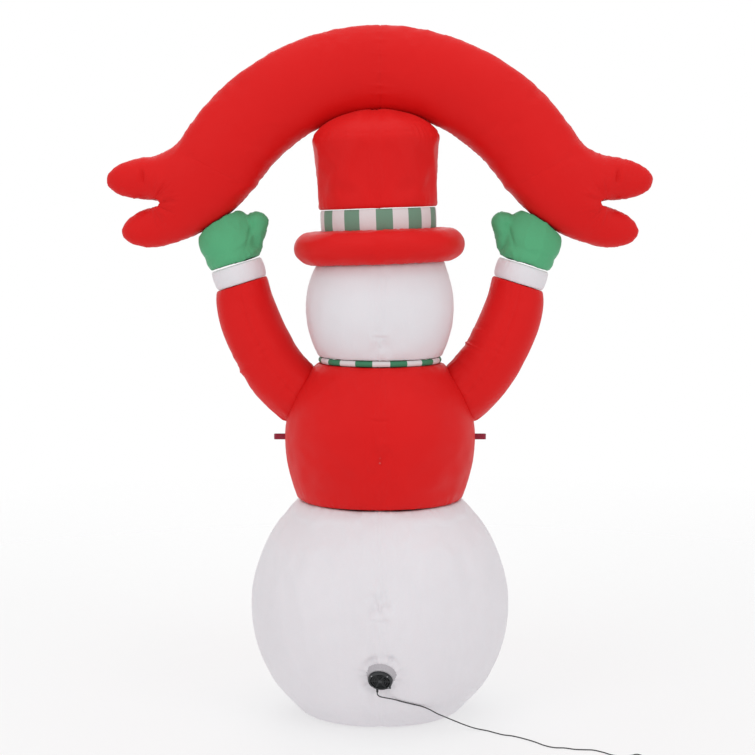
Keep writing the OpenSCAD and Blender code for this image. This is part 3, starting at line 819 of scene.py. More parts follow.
def bed_cord(points):
    """Lets the lying cord press lightly into the ball's cloth."""
    route = smooth_path(ROUTE[:16], 226) * MM
    for spot in route:
        rel = points - spot
        near = np.linalg.norm(rel, axis=-1) < 0.030
        if not near.any():
            continue
        here = points[near]
        out = here - np.array((0, 0, BALL_MID))
        out /= np.linalg.norm(out, axis=1, keepdims=True)
        above = -np.sum((here - spot) * out, axis=1)
        beside = np.sqrt(np.maximum(np.sum((here - spot) ** 2, axis=1) - above ** 2, 0))
        need = 0.0032 - above - np.maximum(beside - 0.003, 0) * 0.45
        points[near] = here - out * np.clip(need, 0, 0.02)[:, None]
    return points


def shape_ball(points):
    return bed_cord(draw_to_blower(points))


def cut_neck(piece):
    """Opens the ball where the blower's neck starts."""
    mesh = bmesh.new()
    mesh.from_mesh(piece.data)
    inverse = BLOWER.inverted()
    doomed = []
    for face in mesh.faces:
        spot = inverse @ face.calc_center_median()
        if abs(spot.z) < 0.1 and math.hypot(spot.x, spot.y) < NECK_R - 0.0012:
            doomed.append(face)
    bmesh.ops.delete(mesh, geom=doomed, context="FACES")
    mesh.to_mesh(piece.data)
    mesh.free()


def neck_cloth():
    """The gathered cloth neck that is tied round the blower's duct, behind its rim. It is white cloth given a
    grey colour as painted shade.
    """
    cols, rows = 168, 15
    outline = [(NECK_R + 0.0065, NECK_Z - 0.006), (NECK_R + 0.0005, NECK_Z + 0.002), (0.0432, -0.0185),
               (0.0418, -0.0163), (0.0416, -0.0127), (0.0430, -0.0108), (0.0426, -0.0096), (0.0405, -0.0098),
               (0.0402, -0.0118)]
    outline = np.array(outline)
    steps = np.concatenate(([0], np.cumsum(np.linalg.norm(np.diff(outline, axis=0), axis=1))))
    s = np.linspace(0, steps[-1], rows)
    r = np.interp(s, steps, outline[:, 0])[:, None]
    z = np.interp(s, steps, outline[:, 1])[:, None]
    turn = (2 * math.pi * np.arange(cols) / cols)[None, :]
    folds = np.cos(26 * turn + 1.1 * np.sin(5 * turn)) + 0.4 * np.cos(41 * turn)
    loose = np.abs(z + 0.0145) / 0.010
    r = r + 0.0007 * folds * np.clip(loose, 0.15, 1.0)
    points = np.stack((r * np.cos(turn), r * np.sin(turn), z + 0 * turn), axis=-1)
    points = transform(points, BLOWER)
    piece = grid_piece("blower_neck_cloth", points, [MATERIALS["neck"]], (0.27, 0.03))
    declare_soft(piece, "white_cloth", 0.2, "blower_sleeve")


def declare_soft(piece, slot, fill, *nodes):
    """Every sewn piece rides on the root and stands for its plain solids."""
    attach(piece, "root")
    if nodes:
        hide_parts(*nodes)


# ---------- sleeves ----------
SLEEVE_PATH = [(0.225, 0, 1.082), (0.285, -0.001, 1.122), (0.340, -0.004, 1.174), (0.384, -0.009, 1.233),
               (0.407, -0.013, 1.275), (0.430, -0.018, 1.319), (0.456, -0.024, 1.381), (0.474, -0.029, 1.444),
               (0.482, -0.032, 1.505)]
SLEEVE_R = 0.090


def smooth_path(points, count):
    """Catmull-Rom curve through points, with count samples."""
    p = np.array(points, dtype=float)
    place = np.linspace(0, len(p) - 1, count)
    start = np.minimum(np.floor(place).astype(int), len(p) - 2)
    total = 0
    for step, weight in zip((-1, 0, 1, 2), cubic_weights((place - start)[:, None])):
        total = total + weight * p[np.clip(start + step, 0, len(p) - 1)]
    return total


def sleeve_frames(side, count):
    """Centre, across, forward and radius along the sleeve."""
    path = smooth_path(SLEEVE_PATH, count) * np.array((side, 1, 1))
    ahead = np.gradient(path, axis=0)
    end = np.array(hand(side).to_3x3() @ Vector((0, 0, 1)))
    ahead /= np.linalg.norm(ahead, axis=1, keepdims=True)
    ease = np.clip((np.linspace(0, 1, count) - 0.85) / 0.15, 0, 1)[:, None]
    ahead = ahead * (1 - ease) + end * ease
    ahead /= np.linalg.norm(ahead, axis=1, keepdims=True)
    across = np.cross(ahead, (0, 1, 0))
    across /= np.linalg.norm(across, axis=1, keepdims=True)
    front = np.cross(across, ahead)
    left = np.linspace(1, 0, count)
    swell = 0.015 * np.sin(np.minimum(math.pi / 2, 5.24 * left)) + 0.004 * left ** 3
    return path, across, front, SLEEVE_R + swell


def sleeve_surface(side, rows, cols, detailed):
    """The sleeve as a grid that starts exactly on the jacket and ends at the cuff."""
    count = 160
    path, across, front, radius = sleeve_frames(side, count)
    turn = 2 * math.pi * np.arange(cols) / cols
    ring = (np.cos(turn)[None, :, None] * across[:, None] + np.sin(turn)[None, :, None] * front[:, None])
    tube = path[:, None] + ring * radius[:, None, None]
    jacket = barrel(tube[..., 2], TORSO_MID, TORSO_R, 0.419, TORSO_UP)
    outside = np.hypot(tube[..., 0], tube[..., 1]) > jacket
    first = count - 1 - np.argmax(~outside[::-1], axis=0)
    start = first / (count - 1)
    for _ in range(3):
        start = 0.25 * np.roll(start, 1) + 0.5 * start + 0.25 * np.roll(start, -1)
    v = np.linspace(0, 1, rows)[:, None]
    t = start[None, :] * (1 - v) + v
    place = t * (count - 1)
    low = np.minimum(np.floor(place).astype(int), count - 2)
    part = (place - low)[..., None]
    column = np.arange(cols)[None, :]
    points = tube[low, column] * (1 - part) + tube[low + 1, column] * part
    if detailed:
        outward = ring[low, column] * (1 - part) + ring[low + 1, column] * part
        length = 0.5 * (1 - start)[None, :]
        off = sleeve_details(turn[None, :] + 0 * t, v * length, (1 - v) * length, t)
        points = points + outward * off[..., None]
    return points, v


def sleeve_details(turn, from_root, from_cuff, t):
    """Gathers at both seams, soft folds in the bend and one long seam underneath."""
    off = edge_gathers(turn, from_root, 121, 30, 0.0036, 0.035)
    off += edge_gathers(turn, from_cuff, 124, 26, 0.0026, 0.022)
    inner = np.clip(np.cos(turn - math.pi), 0, 1) ** 1.5
    bend = np.exp(-((t - 0.42) / 0.16) ** 2)
    off += 0.0042 * inner * bend * creases(t * 13, turn * 0.8, 127)
    along = (turn - math.pi / 2 + math.pi) % (2 * math.pi) - math.pi
    d = along * SLEEVE_R
    off -= 0.0022 * np.exp(-(d / 0.0035) ** 2)
    off += 0.0016 * creases(t * 17, d / 0.09, 129) * np.exp(-np.abs(d) / 0.02)
    return off + 0.0014 * noise2(t * 6, turn * 2, 131)


def make_sleeve(side, name, moved, coarse, fine):
    rows, cols = fine
    points, _ = sleeve_surface(side, rows, cols, True)
    if moved is not None:
        points = points + stretch_grid(capped(grid_ripples(moved.reshape(*coarse, 3)), 0.008), rows, cols)
    inner = points[0] - (points[1] - points[0]) * 1.5
    points = np.concatenate((inner[None], points))
    return grid_piece(name + "_sleeve_cloth", points, [MATERIALS["red"]], (0.57, 0.55), flip=side < 0)


def draft_sleeve(side, name, size):
    points, v = sleeve_surface(side, *size, False)
    draft = grid_piece(name + "_sleeve_draft", points, [], (1, 1), flip=side < 0)
    v = np.repeat(v, size[1], axis=1)
    hold = ((v < 0.001) | (v > 0.999)).astype(float)
    seam = np.zeros_like(v)
    seam[:, size[1] // 4] = 1
    sewn = np.maximum(seam, np.clip(1 - np.minimum(v, 1 - v) / 0.06, 0, 1) * 0.8)
    blow_up(draft, hold.ravel(), sewn.ravel(), 1.2, 0.06)
    return draft


# ---------- cuffs ----------
def cuff_profile():
    z = np.linspace(0.0005, 0.0700, 40)
    u = (z - 0.0005) / 0.0695
    return np.stack((CUFF_R - 0.0035 + 0.0045 * np.sin(math.pi * u) ** 0.6, z), axis=-1)


def cuff_details(body, angle, s, r):
    off = edge_gathers(angle, s, 141, 30, 0.0022, 0.02, 0.0035)
    off += edge_gathers(angle, body.height - s, 144, 34, 0.0022, 0.02, 0.0035)
    return off + upright_seams(angle, s, r, (math.pi / 2,), 147, 0.0018, 0.0012, 0.014)


# ---------- shapes made by merging and blowing up ----------
def tube_into(mesh, rings):
    """Adds a closed tube through rings of points to a bmesh."""
    made = [[mesh.verts.new(p) for p in ring] for ring in rings]
    for low, high in zip(made, made[1:]):
        for k in range(len(low)):
            n = (k + 1) % len(low)
            mesh.faces.new((low[k], low[n], high[n], high[k]))
    mesh.faces.new(list(reversed(made[0])))
    mesh.faces.new(made[-1])


def merged(name, tubes, voxel, smooth_steps):
    """Joins overlapping closed tubes into one skin of even faces."""
    shape = bmesh.new()
    for rings in tubes:
        tube_into(shape, rings)
    bmesh.ops.recalc_face_normals(shape, faces=shape.faces)
    mesh = bpy.data.meshes.new(name)
    shape.to_mesh(mesh)
    shape.free()
    rough = link_piece(name + "_rough", mesh, [])
    remesh = rough.modifiers.new("remesh", "REMESH")
    remesh.mode = "VOXEL"
    remesh.voxel_size = voxel
    relax = rough.modifiers.new("relax", "SMOOTH")
    relax.iterations = smooth_steps
    graph = bpy.context.evaluated_depsgraph_get()
    result = bpy.data.meshes.new_from_object(rough.evaluated_get(graph))
    bpy.data.objects.remove(rough)
    result.name = name
    return link_piece(name, result, [])


def ellipse_ring(centre, a, b, u, v, count=48):
    """Points around an ellipse with half-axes a along u and b along v."""
    turn = 2 * math.pi * np.arange(count) / count
    return [tuple(centre + a * math.cos(t) * u + b * math.sin(t) * v) for t in turn]


def lobe_rings(side, offset, target, r, tip):
    """Rings along one lobe of the banner's fork: an arc that leaves the arch and an oval tip."""
    root_r = ARCH_R + offset
    start = np.array((root_r * math.sin(ROOT_ANGLE), ARCH_Z + root_r * math.cos(ROOT_ANGLE)))
    run = np.array(target) - start
    bend = 2 * (math.atan2(run[1], run[0]) + ROOT_ANGLE)
    rho = np.linalg.norm(run) / (2 * math.sin(bend / 2))
    middle = start + rho * np.array((math.sin(ROOT_ANGLE), math.cos(ROOT_ANGLE)))
    rings = [(share * bend, 0.0, 1.0) for share in np.linspace(-0.25, 1, 18)]
    rings += [(bend, tip * math.sin(a), math.cos(a)) for a in np.linspace(0.12, 1.5, 14)]
    made = []
    for turn, beyond, scale in rings:
        heading = -ROOT_ANGLE + turn
        along = np.array((math.cos(heading), math.sin(heading)))
        radial = np.array((-along[1], along[0]))
        spot = middle - rho * radial + beyond * along
        centre = np.array((side * spot[0], BANNER_Y, spot[1]))
        across = np.array((side * radial[0], 0, radial[1]))
        made.append(ellipse_ring(centre, r * scale, 0.9 * r * scale, across, np.array((0, 1, 0))))
    return made


def banner_tubes():
    arch = []
    for angle in np.linspace(-ARCH_END, ARCH_END, 71):
        radial = np.array((math.sin(angle), 0, math.cos(angle)))
        centre = np.array((0, BANNER_Y, ARCH_Z)) + ARCH_R * radial
        arch.append(ellipse_ring(centre, ARCH_HALF_H, ARCH_HALF_D, radial, np.array((0, 1, 0))))
    tubes = [arch]
    for side in (-1, 1):
        tubes.append(lobe_rings(side, 0.076, (0.800, 1.870), 0.076, 0.154))
        tubes.append(lobe_rings(side, -0.078, (0.775, 1.702), 0.072, 0.130))
        middle = np.array((side * 0.676, BANNER_Y, 1.812))
        filler = []
        for a in np.linspace(-1.4, 1.4, 13):
            centre = middle + np.array((side * 0.092 * math.sin(a), 0, 0))
            filler.append(ellipse_ring(centre, 0.092 * math.cos(a), 0.080 * math.cos(a),
                                       np.array((0, 0, 1)), np.array((0, 1, 0))))
        tubes.append(filler)
    return tubes


class Pillow:
    """How far two flat panels, sewn together round an outline, stand apart when blown up."""

    STEP = 0.008

    def __init__(self, points):
        """points are the piece's own, seen along Y, and fill its outline."""
        self.low = points[:, [0, 2]].min(axis=0) - 3 * self.STEP
        high = points[:, [0, 2]].max(axis=0) + 3 * self.STEP
        shape = np.ceil((high - self.low) / self.STEP).astype(int) + 1
        cell = np.round((points[:, [0, 2]] - self.low) / self.STEP).astype(int)
        hit = np.zeros(shape, dtype=bool)
        for dx in (-1, 0, 1):
            for dz in (-1, 0, 1):
                hit[cell[:, 0] + dx, cell[:, 1] + dz] = True
        hit = hit[1:-1, 1:-1] & hit[:-2, 1:-1] & hit[2:, 1:-1] & hit[1:-1, :-2] & hit[1:-1, 2:]
        self.inside = np.pad(hit, 1)
        self.field = self.solve()

    def solve(self):
        """Relaxes the height of a membrane under even pressure, in steps of half the cells."""
        field = np.zeros(self.inside.shape)
        i, j = np.indices(field.shape)
        black = ((i + j) % 2 == 0) & self.inside
        red = ((i + j) % 2 == 1) & self.inside
        for _ in range(450):
            for half in (black, red):
                near = np.zeros_like(field)
                near[1:-1, 1:-1] = field[:-2, 1:-1] + field[2:, 1:-1] + field[1:-1, :-2] + field[1:-1, 2:]
                fresh = 0.25 * (near + self.STEP ** 2)
                field = np.where(half, field + 1.85 * (fresh - field), field)
        return field

    def half_depth(self, x, z):
        u, v = (x - self.low[0]) / self.STEP, (z - self.low[1]) / self.STEP
        i = np.clip(np.floor(u).astype(int), 0, self.field.shape[0] - 2)
        j = np.clip(np.floor(v).astype(int), 0, self.field.shape[1] - 2)
        a, b = u - i, v - j
        f = self.field
        low = f[i, j] * (1 - a) + f[i + 1, j] * a
        high = f[i, j + 1] * (1 - a) + f[i + 1, j + 1] * a
        return ARCH_HALF_D / ARCH_HALF_H * np.sqrt(2 * np.maximum(low * (1 - b) + high * b, 0))


def puff_out(points, pillow):
    """Gives the banner's flat middle the depth that two sewn panels take when blown up."""
    full = pillow.half_depth(points[:, 0], points[:, 2])
    away = points[:, 1] - BANNER_Y
    share = np.clip((full - 0.030) / 0.045, 0, 1)
    share = share * share * (3 - 2 * share)
    fixed = points.copy()
    fixed[:, 1] = BANNER_Y + np.where(np.abs(away) > 0.012, np.sign(away) * (
        share * full + (1 - share) * np.abs(away)), away)
    return fixed


def press_dent(points, gap):
    """Keeps the banner's underside on the outside of the hat's crown."""
    local = transform(points, CROWN.inverted())
    far = np.maximum(np.hypot(local[:, 0], local[:, 1]), 1e-6)
    up = np.maximum(local[:, 2] - CROWN_WALL, 0)
    size = np.hypot(far / (CROWN_TOP_R + gap), up / (DOME_H + gap))
    inside = (size < 1) & (local[:, 2] > 0)
    grow = np.where(inside, 1 / np.maximum(size, 0.2), 1)
    fixed = local.copy()
    dome = inside & (up > 0)
    fixed[:, 0] = np.where(inside, local[:, 0] * grow, local[:, 0])
    fixed[:, 1] = np.where(inside, local[:, 1] * grow, local[:, 1])
    fixed[:, 2] = np.where(dome, CROWN_WALL + up * grow, local[:, 2])
    return transform(fixed, CROWN), inside


def flat_weave(piece):
    """Gives a piece cut from flat front and back panels its weave coordinates."""
    mesh = piece.data
    points = read_points(mesh)
    layer = mesh.uv_layers.new(name="cloth")
    corners = np.empty(len(mesh.loops), dtype=int)
    mesh.loops.foreach_get("vertex_index", corners)
    layer.data.foreach_set("uv", points[corners][:, [0, 2]].ravel())


def write_points(piece, points):
    piece.data.vertices.foreach_set("co", points.ravel())
    piece.data.update()


def point_normals(mesh):
    flat = np.empty(len(mesh.vertices) * 3)
    mesh.vertices.foreach_get("normal", flat)
    return flat.reshape(-1, 3)


def subdivide(piece, levels=1):
    """Applies smooth subdivision."""
    step = piece.modifiers.new("smooth", "SUBSURF")
    step.levels = levels
    step.render_levels = levels
    graph = bpy.context.evaluated_depsgraph_get()
    mesh = bpy.data.meshes.new_from_object(piece.evaluated_get(graph))
    piece.modifiers.clear()
    piece.data = mesh
    for polygon in mesh.polygons:
        polygon.use_smooth = True


def edge_seam(points, y, seed, pitch, depth=0.0030, pucker=0.0026, reach=0.026):
    """The seam between a front and a back panel, in the plane at y, with its puckers."""
    d = points[:, 1] - y
    side = np.where(d > 0, 0.0, 60.0)
    x, z = points[:, 0] / pitch, points[:, 2] / pitch
    run = reach * (0.75 + 0.5 * noise2(x * 0.4 + 20, z * 0.4 + 20, seed + 2))
    fold = creases(x + side + 50, z + 50, seed)
    fade = np.exp(-np.abs(d) / np.maximum(run, 0.008)) * (1 - np.exp(-(d / 0.003) ** 2))
    groove = depth * np.exp(-(d / 0.004) ** 2)
    return pucker * fold * fade - groove - 0.4 * depth * np.exp(-np.abs(d) / 0.012)


def near_line(points, a, b, y_side):
    """Distance of points on one face from the line a-b, seen along Y, and the place along it."""
    start, end = np.array(a), np.array(b)
    run = end - start
    rel = points[:, [0, 2]] - start
    t = np.clip(rel @ run / (run @ run), 0, 1)
    gap = rel - t[:, None] * run
    d = np.hypot(gap[:, 0], gap[:, 1])
    return np.where(y_side * (points[:, 1] - BANNER_Y) > 0.02, d, 9.0), t


def banner_details(points):
    """The banner's outer seam, its top seam, and the creases at its ends."""
    off = edge_seam(points, BANNER_Y, 151, 0.030, 0.0028, 0.0026, 0.030)
    off += 0.0014 * noise2(points[:, 0] / 0.16 + 9, points[:, 2] / 0.16, 155)
    centre = points[:, [0, 2]] - np.array((0, ARCH_Z))
    angle = np.arctan2(centre[:, 0], centre[:, 1])
    radius = np.hypot(centre[:, 0], centre[:, 1])
    d = angle * radius
    fold = creases(radius / 0.026 + 30, d / 0.09 + 20, 157)
    off += -0.0020 * np.exp(-(d / 0.0035) ** 2) + 0.0014 * fold * np.exp(-np.abs(d) / 0.016)
    for side in (-1, 1):
        notch = np.array((side * 0.790, 1.784))
        rel = points[:, [0, 2]] - notch
        far = np.hypot(rel[:, 0], rel[:, 1]) + 1e-6
        turn = np.arctan2(rel[:, 1], -side * rel[:, 0])
        rays = creases(turn * 4.2 + 20, far / 0.20 + 3 * side + 9, 156)
        off += 0.0042 * rays * np.exp(-((far - 0.056) / 0.036) ** 2) * np.clip(2.0 - np.abs(turn), 0, 1)
        for y_side in (-1, 1):
            d, t = near_line(points, (side * 0.824, 1.906), (side * 0.820, 1.846), y_side)
            ease = np.sin(math.pi * np.clip(t, 0.02, 0.98))
            groove = -0.0085 * np.exp(-(d / 0.007) ** 2)
            off += ease * (groove + 0.0026 * np.exp(-((d - 0.018) / 0.010) ** 2))
    return off


def finish_merged(piece, name, moved, cap, details, material, keep_out=None):
    """Applies the simulated shift, one subdivision and the sewn details to a merged piece."""
    points = read_points(piece.data)
    if moved is not None:
        points = points + capped(mesh_ripples(piece.data, moved), cap)
    if keep_out:
        points = keep_out(points)
    write_points(piece, points)
    subdivide(piece)
    normals = point_normals(piece.data)
    points = read_points(piece.data)
    points = points + normals * details(points)[:, None]
    if keep_out:
        points = keep_out(points)
    write_points(piece, points)
    flat_weave(piece)
    piece.name = name
    piece.data.materials.clear()
    piece.data.materials.append(material)


# ---------- mittens ----------
def palm_rings(side):
    place = hand(side)
    levels = [(0.0765, 0.070), (0.088, 0.0715), (0.093, 0.080), (0.0965, 0.094)]
    levels += [(MITTEN_R * math.cos(a), 0.165 + 0.110 * math.sin(a)) for a in np.linspace(-0.45, 1.5, 16)]
    x = np.array(place.to_3x3() @ Vector((1, 0, 0)))
    y = np.array((0, 1, 0))
    rings = []
    for r, z in levels:
        flat = 0.99 - 0.40 * min(1.0, max(0.0, (z - 0.10) / 0.12))
        rings.append(ellipse_ring(np.array(place @ Vector((0, 0, z))), r, r * flat, x, y, 40))
    return rings


def thumb_rings(side):
    lean = Matrix.Rotation(-side * math.radians(32), 4, "Y")
    place = hand(side) @ Matrix.Translation((-side * 0.058, 0, 0.096)) @ lean
    levels = [(0.030, 0.0), (0.041, 0.02)] + [(0.041, z) for z in np.linspace(0.03, 0.110, 8)]
    levels += [(0.041 * math.cos(a), 0.110 + 0.036 * math.sin(a)) for a in np.linspace(0.15, 1.4, 7)]
    x = np.array(place.to_3x3() @ Vector((1, 0, 0)))
    return [ellipse_ring(np.array(place @ Vector((0, 0, z))), r, r, x, np.array((0, 1, 0)), 28)
            for r, z in levels]


def under_banner(side, pillow):
    """Presses a mitten's top flat against the banner's lower side."""
    lean = Matrix.Rotation(side * math.radians(18), 3, "Y")
    down = np.array(hand(side).to_3x3() @ lean @ Vector((0, 0, -1)))

    def limit(points):
        points = points.copy()
        for _ in range(70):
            away = np.abs(points[:, 1] - BANNER_Y)
            depth = pillow.half_depth(points[:, 0], points[:, 2])
            buried = (depth > 0.004) & (away < depth + 0.0015)
            if not buried.any():
                break
            points[buried] += 0.002 * down
        return points
    return limit


def mitten_details(side):
    inverse = hand(side).inverted()

    def details(points):
        local = transform(points, inverse)
        off = edge_seam(points, HAND.y, 161 + side, 0.020, 0.0026, 0.0020, 0.018)
        turn = np.arctan2(local[:, 0], local[:, 1])
        off += edge_gathers(turn, np.maximum(local[:, 2] - 0.071, 0), 165 + side, 32, 0.003, 0.022)
        root = np.array((-side * 0.078, 0.128))
        rel = local[:, [0, 2]] - root
        along = rel @ np.array((-side * 0.53, 0.85))
        across = rel @ np.array((side * 0.85, 0.53))
        fold = np.exp(-((across - 0.012) / 0.006) ** 2) * np.exp(-((along - 0.03) / 0.045) ** 2)
        slant = local[:, 2] / 0.05 + local[:, 1] / 0.09 + 9
        off += 0.0022 * creases(local[:, 0] / 0.06 + 9, slant, 168 + side)
        return off - 0.0045 * fold
    return details


# ---------- front trim ----------
def puffed_disc(centre, normal, radius, height, seed, rings=14, cols=72):
    """A padded round patch, flat behind, sewn down round its edge."""
    normal = Vector(normal).normalized()
    side = normal.orthogonal().normalized()
    other = normal.cross(side)
    u = np.linspace(0.02, 1, rings)
    turn = 2 * math.pi * np.arange(cols) / cols
    uu, tt = np.meshgrid(u, turn, indexing="ij")
    swell = np.sqrt(np.maximum(0, 1 - uu ** 2.4))
    cells = int(radius / 0.0012)
    fold = 0.10 * creases(cells * tt / (2 * math.pi), uu * 2, seed, cells) * np.clip((uu - 0.35) / 0.5, 0, 1)
    lift = height * swell * (1 + fold) + 0.0006
    wide = radius * uu * (1 + 0.012 * np.cos(3 * tt + seed))
    flat = (wide * np.cos(tt))[..., None] * np.array(side) + (wide * np.sin(tt))[..., None] * np.array(other)
    return np.array(centre) + flat + lift[..., None] * np.array(normal)


def join_grids(name, grids, materials, size, pick=None):
    """One piece made of several separate grids."""
    parts = [grid_piece(f"{name}_{i}", g, materials, size, pick=pick) for i, g in enumerate(grids)]
    with bpy.context.temp_override(active_object=parts[0], selected_editable_objects=parts,
                                   selected_objects=parts, object=parts[0]):
        bpy.ops.object.join()
    parts[0].name = name
    return parts[0]


def on_body(x, z, middle, radius, below, above):
    """The point and outward direction on the front of a barrel at x and z."""
    def reach(level):
        return float(barrel(np.array(level), middle, radius, below, above))
    r = reach(z)
    slope = (reach(z + 0.005) - reach(z - 0.005)) / 0.01
    spot = Vector((x, -math.sqrt(r * r - x * x), z))
    out = Vector((spot.x / r, spot.y / r, -slope)).normalized()
    return spot, out


def coal_and_buttons():
    head = (HEAD_MID, HEAD_R, 0.292, 0.295)
    torso = (TORSO_MID, TORSO_R, 0.419, TORSO_UP)
    eyes = [(x, HEAD_MID + 0.062) for x in (-0.078, 0.078)]
    mouth = [(0.118 * math.sin(a), HEAD_MID - 0.006 - 0.096 * math.cos(a))
             for a in np.radians(range(-52, 53, 26))]
    buttons = [(0, z) for z in (0.840, 0.960, 1.080)]
    for name, node, spots, form, radius in (("eye_patches", "coal_eyes", eyes, head, 0.0245),
                                            ("mouth_patches", "coal_mouth", mouth, head, 0.0138),
                                            ("button_patches", "jacket_buttons", buttons, torso, 0.0295)):
        grids, stitches = [], []
        for i, (x, z) in enumerate(spots):
            spot, out = on_body(x, z, *form)
            grids.append(puffed_disc(spot, out, radius, radius * 0.42, 171 + i))
            stitches += ring_stitches(spot, out, radius * 0.95, 0.0016)
        piece = join_grids(name, grids, [MATERIALS["black"]], (0.15, 0.03))
        declare_soft(piece, "black_cloth", 0.7, node)
        threads(name + "_stitches", stitches, MATERIALS["thread_black"], "black_cloth")


def ring_stitches(spot, out, radius, lift, pitch=0.0045):
    """Start and end points of straight stitches round a patch."""
    side = out.orthogonal().normalized()
    other = out.cross(side)
    count = int(2 * math.pi * radius / pitch)
    made = []
    for i in range(count):
        ends = [2 * math.pi * (i + t) / count for t in (0.12, 0.78)]
        made.append([spot + radius * (math.cos(a) * side + math.sin(a) * other) + lift * out for a in ends])
    return made


def threads(name, stitches, material, slot, radius=0.00035):
    """Small round stitches, each from one point to another, as one mesh."""
    mesh = bmesh.new()
    for start, end in stitches:
        start, end = Vector(start), Vector(end)
        run = end - start
        side = run.orthogonal().normalized()
        other = run.normalized().cross(side)
        rings = []
        for t, scale in ((-0.06, 0.35), (0.12, 1.0), (0.88, 1.0), (1.06, 0.35)):
            centre = start + run * t
            turns = [2 * math.pi * k / 6 for k in range(6)]
            r = radius * scale
            rings.append([mesh.verts.new(centre + r * (math.cos(a) * side + math.sin(a) * other))
                          for a in turns])
        for low, high in zip(rings, rings[1:]):
            for k in range(6):
                mesh.faces.new((low[k], low[(k + 1) % 6], high[(k + 1) % 6], high[k]))
        mesh.faces.new(list(reversed(rings[0])))
        mesh.faces.new(rings[-1])
    data = bpy.data.meshes.new(name)
    mesh.to_mesh(data)
    mesh.free()
    piece = link_piece(name, data, [material])
    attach(piece, "root")
    return piece


def carrot_profile():
    points = [(0.0425, 0.0), (0.0440, 0.012), (0.0415, 0.040), (0.0370, 0.070), (0.0300, 0.102),
              (0.0215, 0.135), (0.0130, 0.164), (0.0080, 0.177), (0.0035, 0.1825), (0.0004, 0.1835)]
    return points


def carrot_details(body, angle, s, r):
    ease = np.clip(r / 0.015, 0, 1)
    off = upright_seams(angle, s, r, (0.0, math.pi), 181, 0.0016, 0.0012, 0.010, 0.014) * ease
    off += edge_gathers(angle, s, 184, 22, 0.0024, 0.020, 0.0015)
    for level in (0.058, 0.096, 0.128):
        dent = np.exp(-((s - level) / 0.004) ** 2) * np.clip(np.sin(angle * 1.5 + level * 60), 0, 1)
        off -= 0.0016 * dent
    return off * ease


# ---------- webbing loops ----------
def make_loop(side, name):
    """A folded strip of webbing, its ends sewn into the side seam."""
    width, thick, half = 0.019, 0.0014, 0.0072
    stitch = 0.0024
    reach = TORSO_R + 0.029
    start = TORSO_R - 0.006
    bend = np.linspace(0.15, math.pi - 0.15, 18)
    middle = [(x, -half) for x in np.linspace(start, reach, 14)]
    middle += [(reach + half * math.sin(a), -half * math.cos(a)) for a in bend]
    middle += [(x, half) for x in np.linspace(reach, start, 14)]
    middle = np.array(middle)
    ahead = np.gradient(middle, axis=0)
    ahead /= np.linalg.norm(ahead, axis=1, keepdims=True)
    out = np.stack((ahead[:, 1], -ahead[:, 0]), axis=-1)
    rim = [(-1, -0.92), (-0.6, -1), (0.6, -1), (1, -0.92), (1, -0.3), (1, 0.3), (1, 0.92), (0.6, 1),
           (-0.6, 1), (-1, 0.92), (-1, 0.3), (-1, -0.3)]
    z_mid = 0.960 + width / 2
    rings = []
    for (x, y), (nx, ny) in zip(middle, out):
        rings.append([(side * (x + nx * thick / 2 * a), y + ny * thick / 2 * a, z_mid + width / 2 * b)
                      for a, b in rim])
    points = np.array(rings)
    piece = grid_piece(name + "_tether_webbing", points, [MATERIALS["webbing"]], (0.06, 0.1), flip=side < 0)
    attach(piece, "root")
    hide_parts(name + "_tether_loop")
    stitches = []
    for face in (-1, 1):
        y = face * (half + thick / 2 + 0.0002)
        for z in np.arange(-0.007, 0.0071, 0.0035):
            for x in (0.005, 0.019):
                at = side * (TORSO_R + x)
                stitches.append([(at, y, z_mid + z), (at, y, z_mid + z + stitch)])
        for x in np.arange(0.005, 0.0185, 0.0035):
            near, far = side * (TORSO_R + x), side * (TORSO_R + x + stitch)
            for z in (-0.0078, 0.0078):
                stitches.append([(near, y, z_mid + z), (far, y, z_mid + z)])
    threads(name + "_tether_stitches", stitches, MATERIALS["thread_red"], "webbing")


# ---------- ground panel and scarf end ----------
def make_base_panel():
    """The flat round ground panel, with a turned and stitched rim."""
    cols, rows = 180, 22
    u = np.linspace(0.01, 1, rows)
    turn = 2 * math.pi * np.arange(cols) / cols
    uu, tt = np.meshgrid(u, turn, indexing="ij")
    r = uu * (BASE_R + 0.004)
    top = PANEL_T * (0.35 + 0.65 * np.exp(-((r - BASE_R + 0.006) / 0.006) ** 2))
    top = top + 0.0004 * noise2(r * np.cos(tt) / 0.03, r * np.sin(tt) / 0.03, 191)
    upper = np.stack((r * np.sin(tt), r * np.cos(tt), np.maximum(top, 0.0006)), axis=-1)
    lower = upper[::-1].copy()
    lower[..., 2] = 0.0001
    points = np.concatenate((lower[::-1], upper[::-1]))
    piece = grid_piece("ground_panel_cloth", points, [MATERIALS["white"]], (1.3, 0.2), flip=True)
    declare_soft(piece, "white_cloth", 0.0, "base_panel")


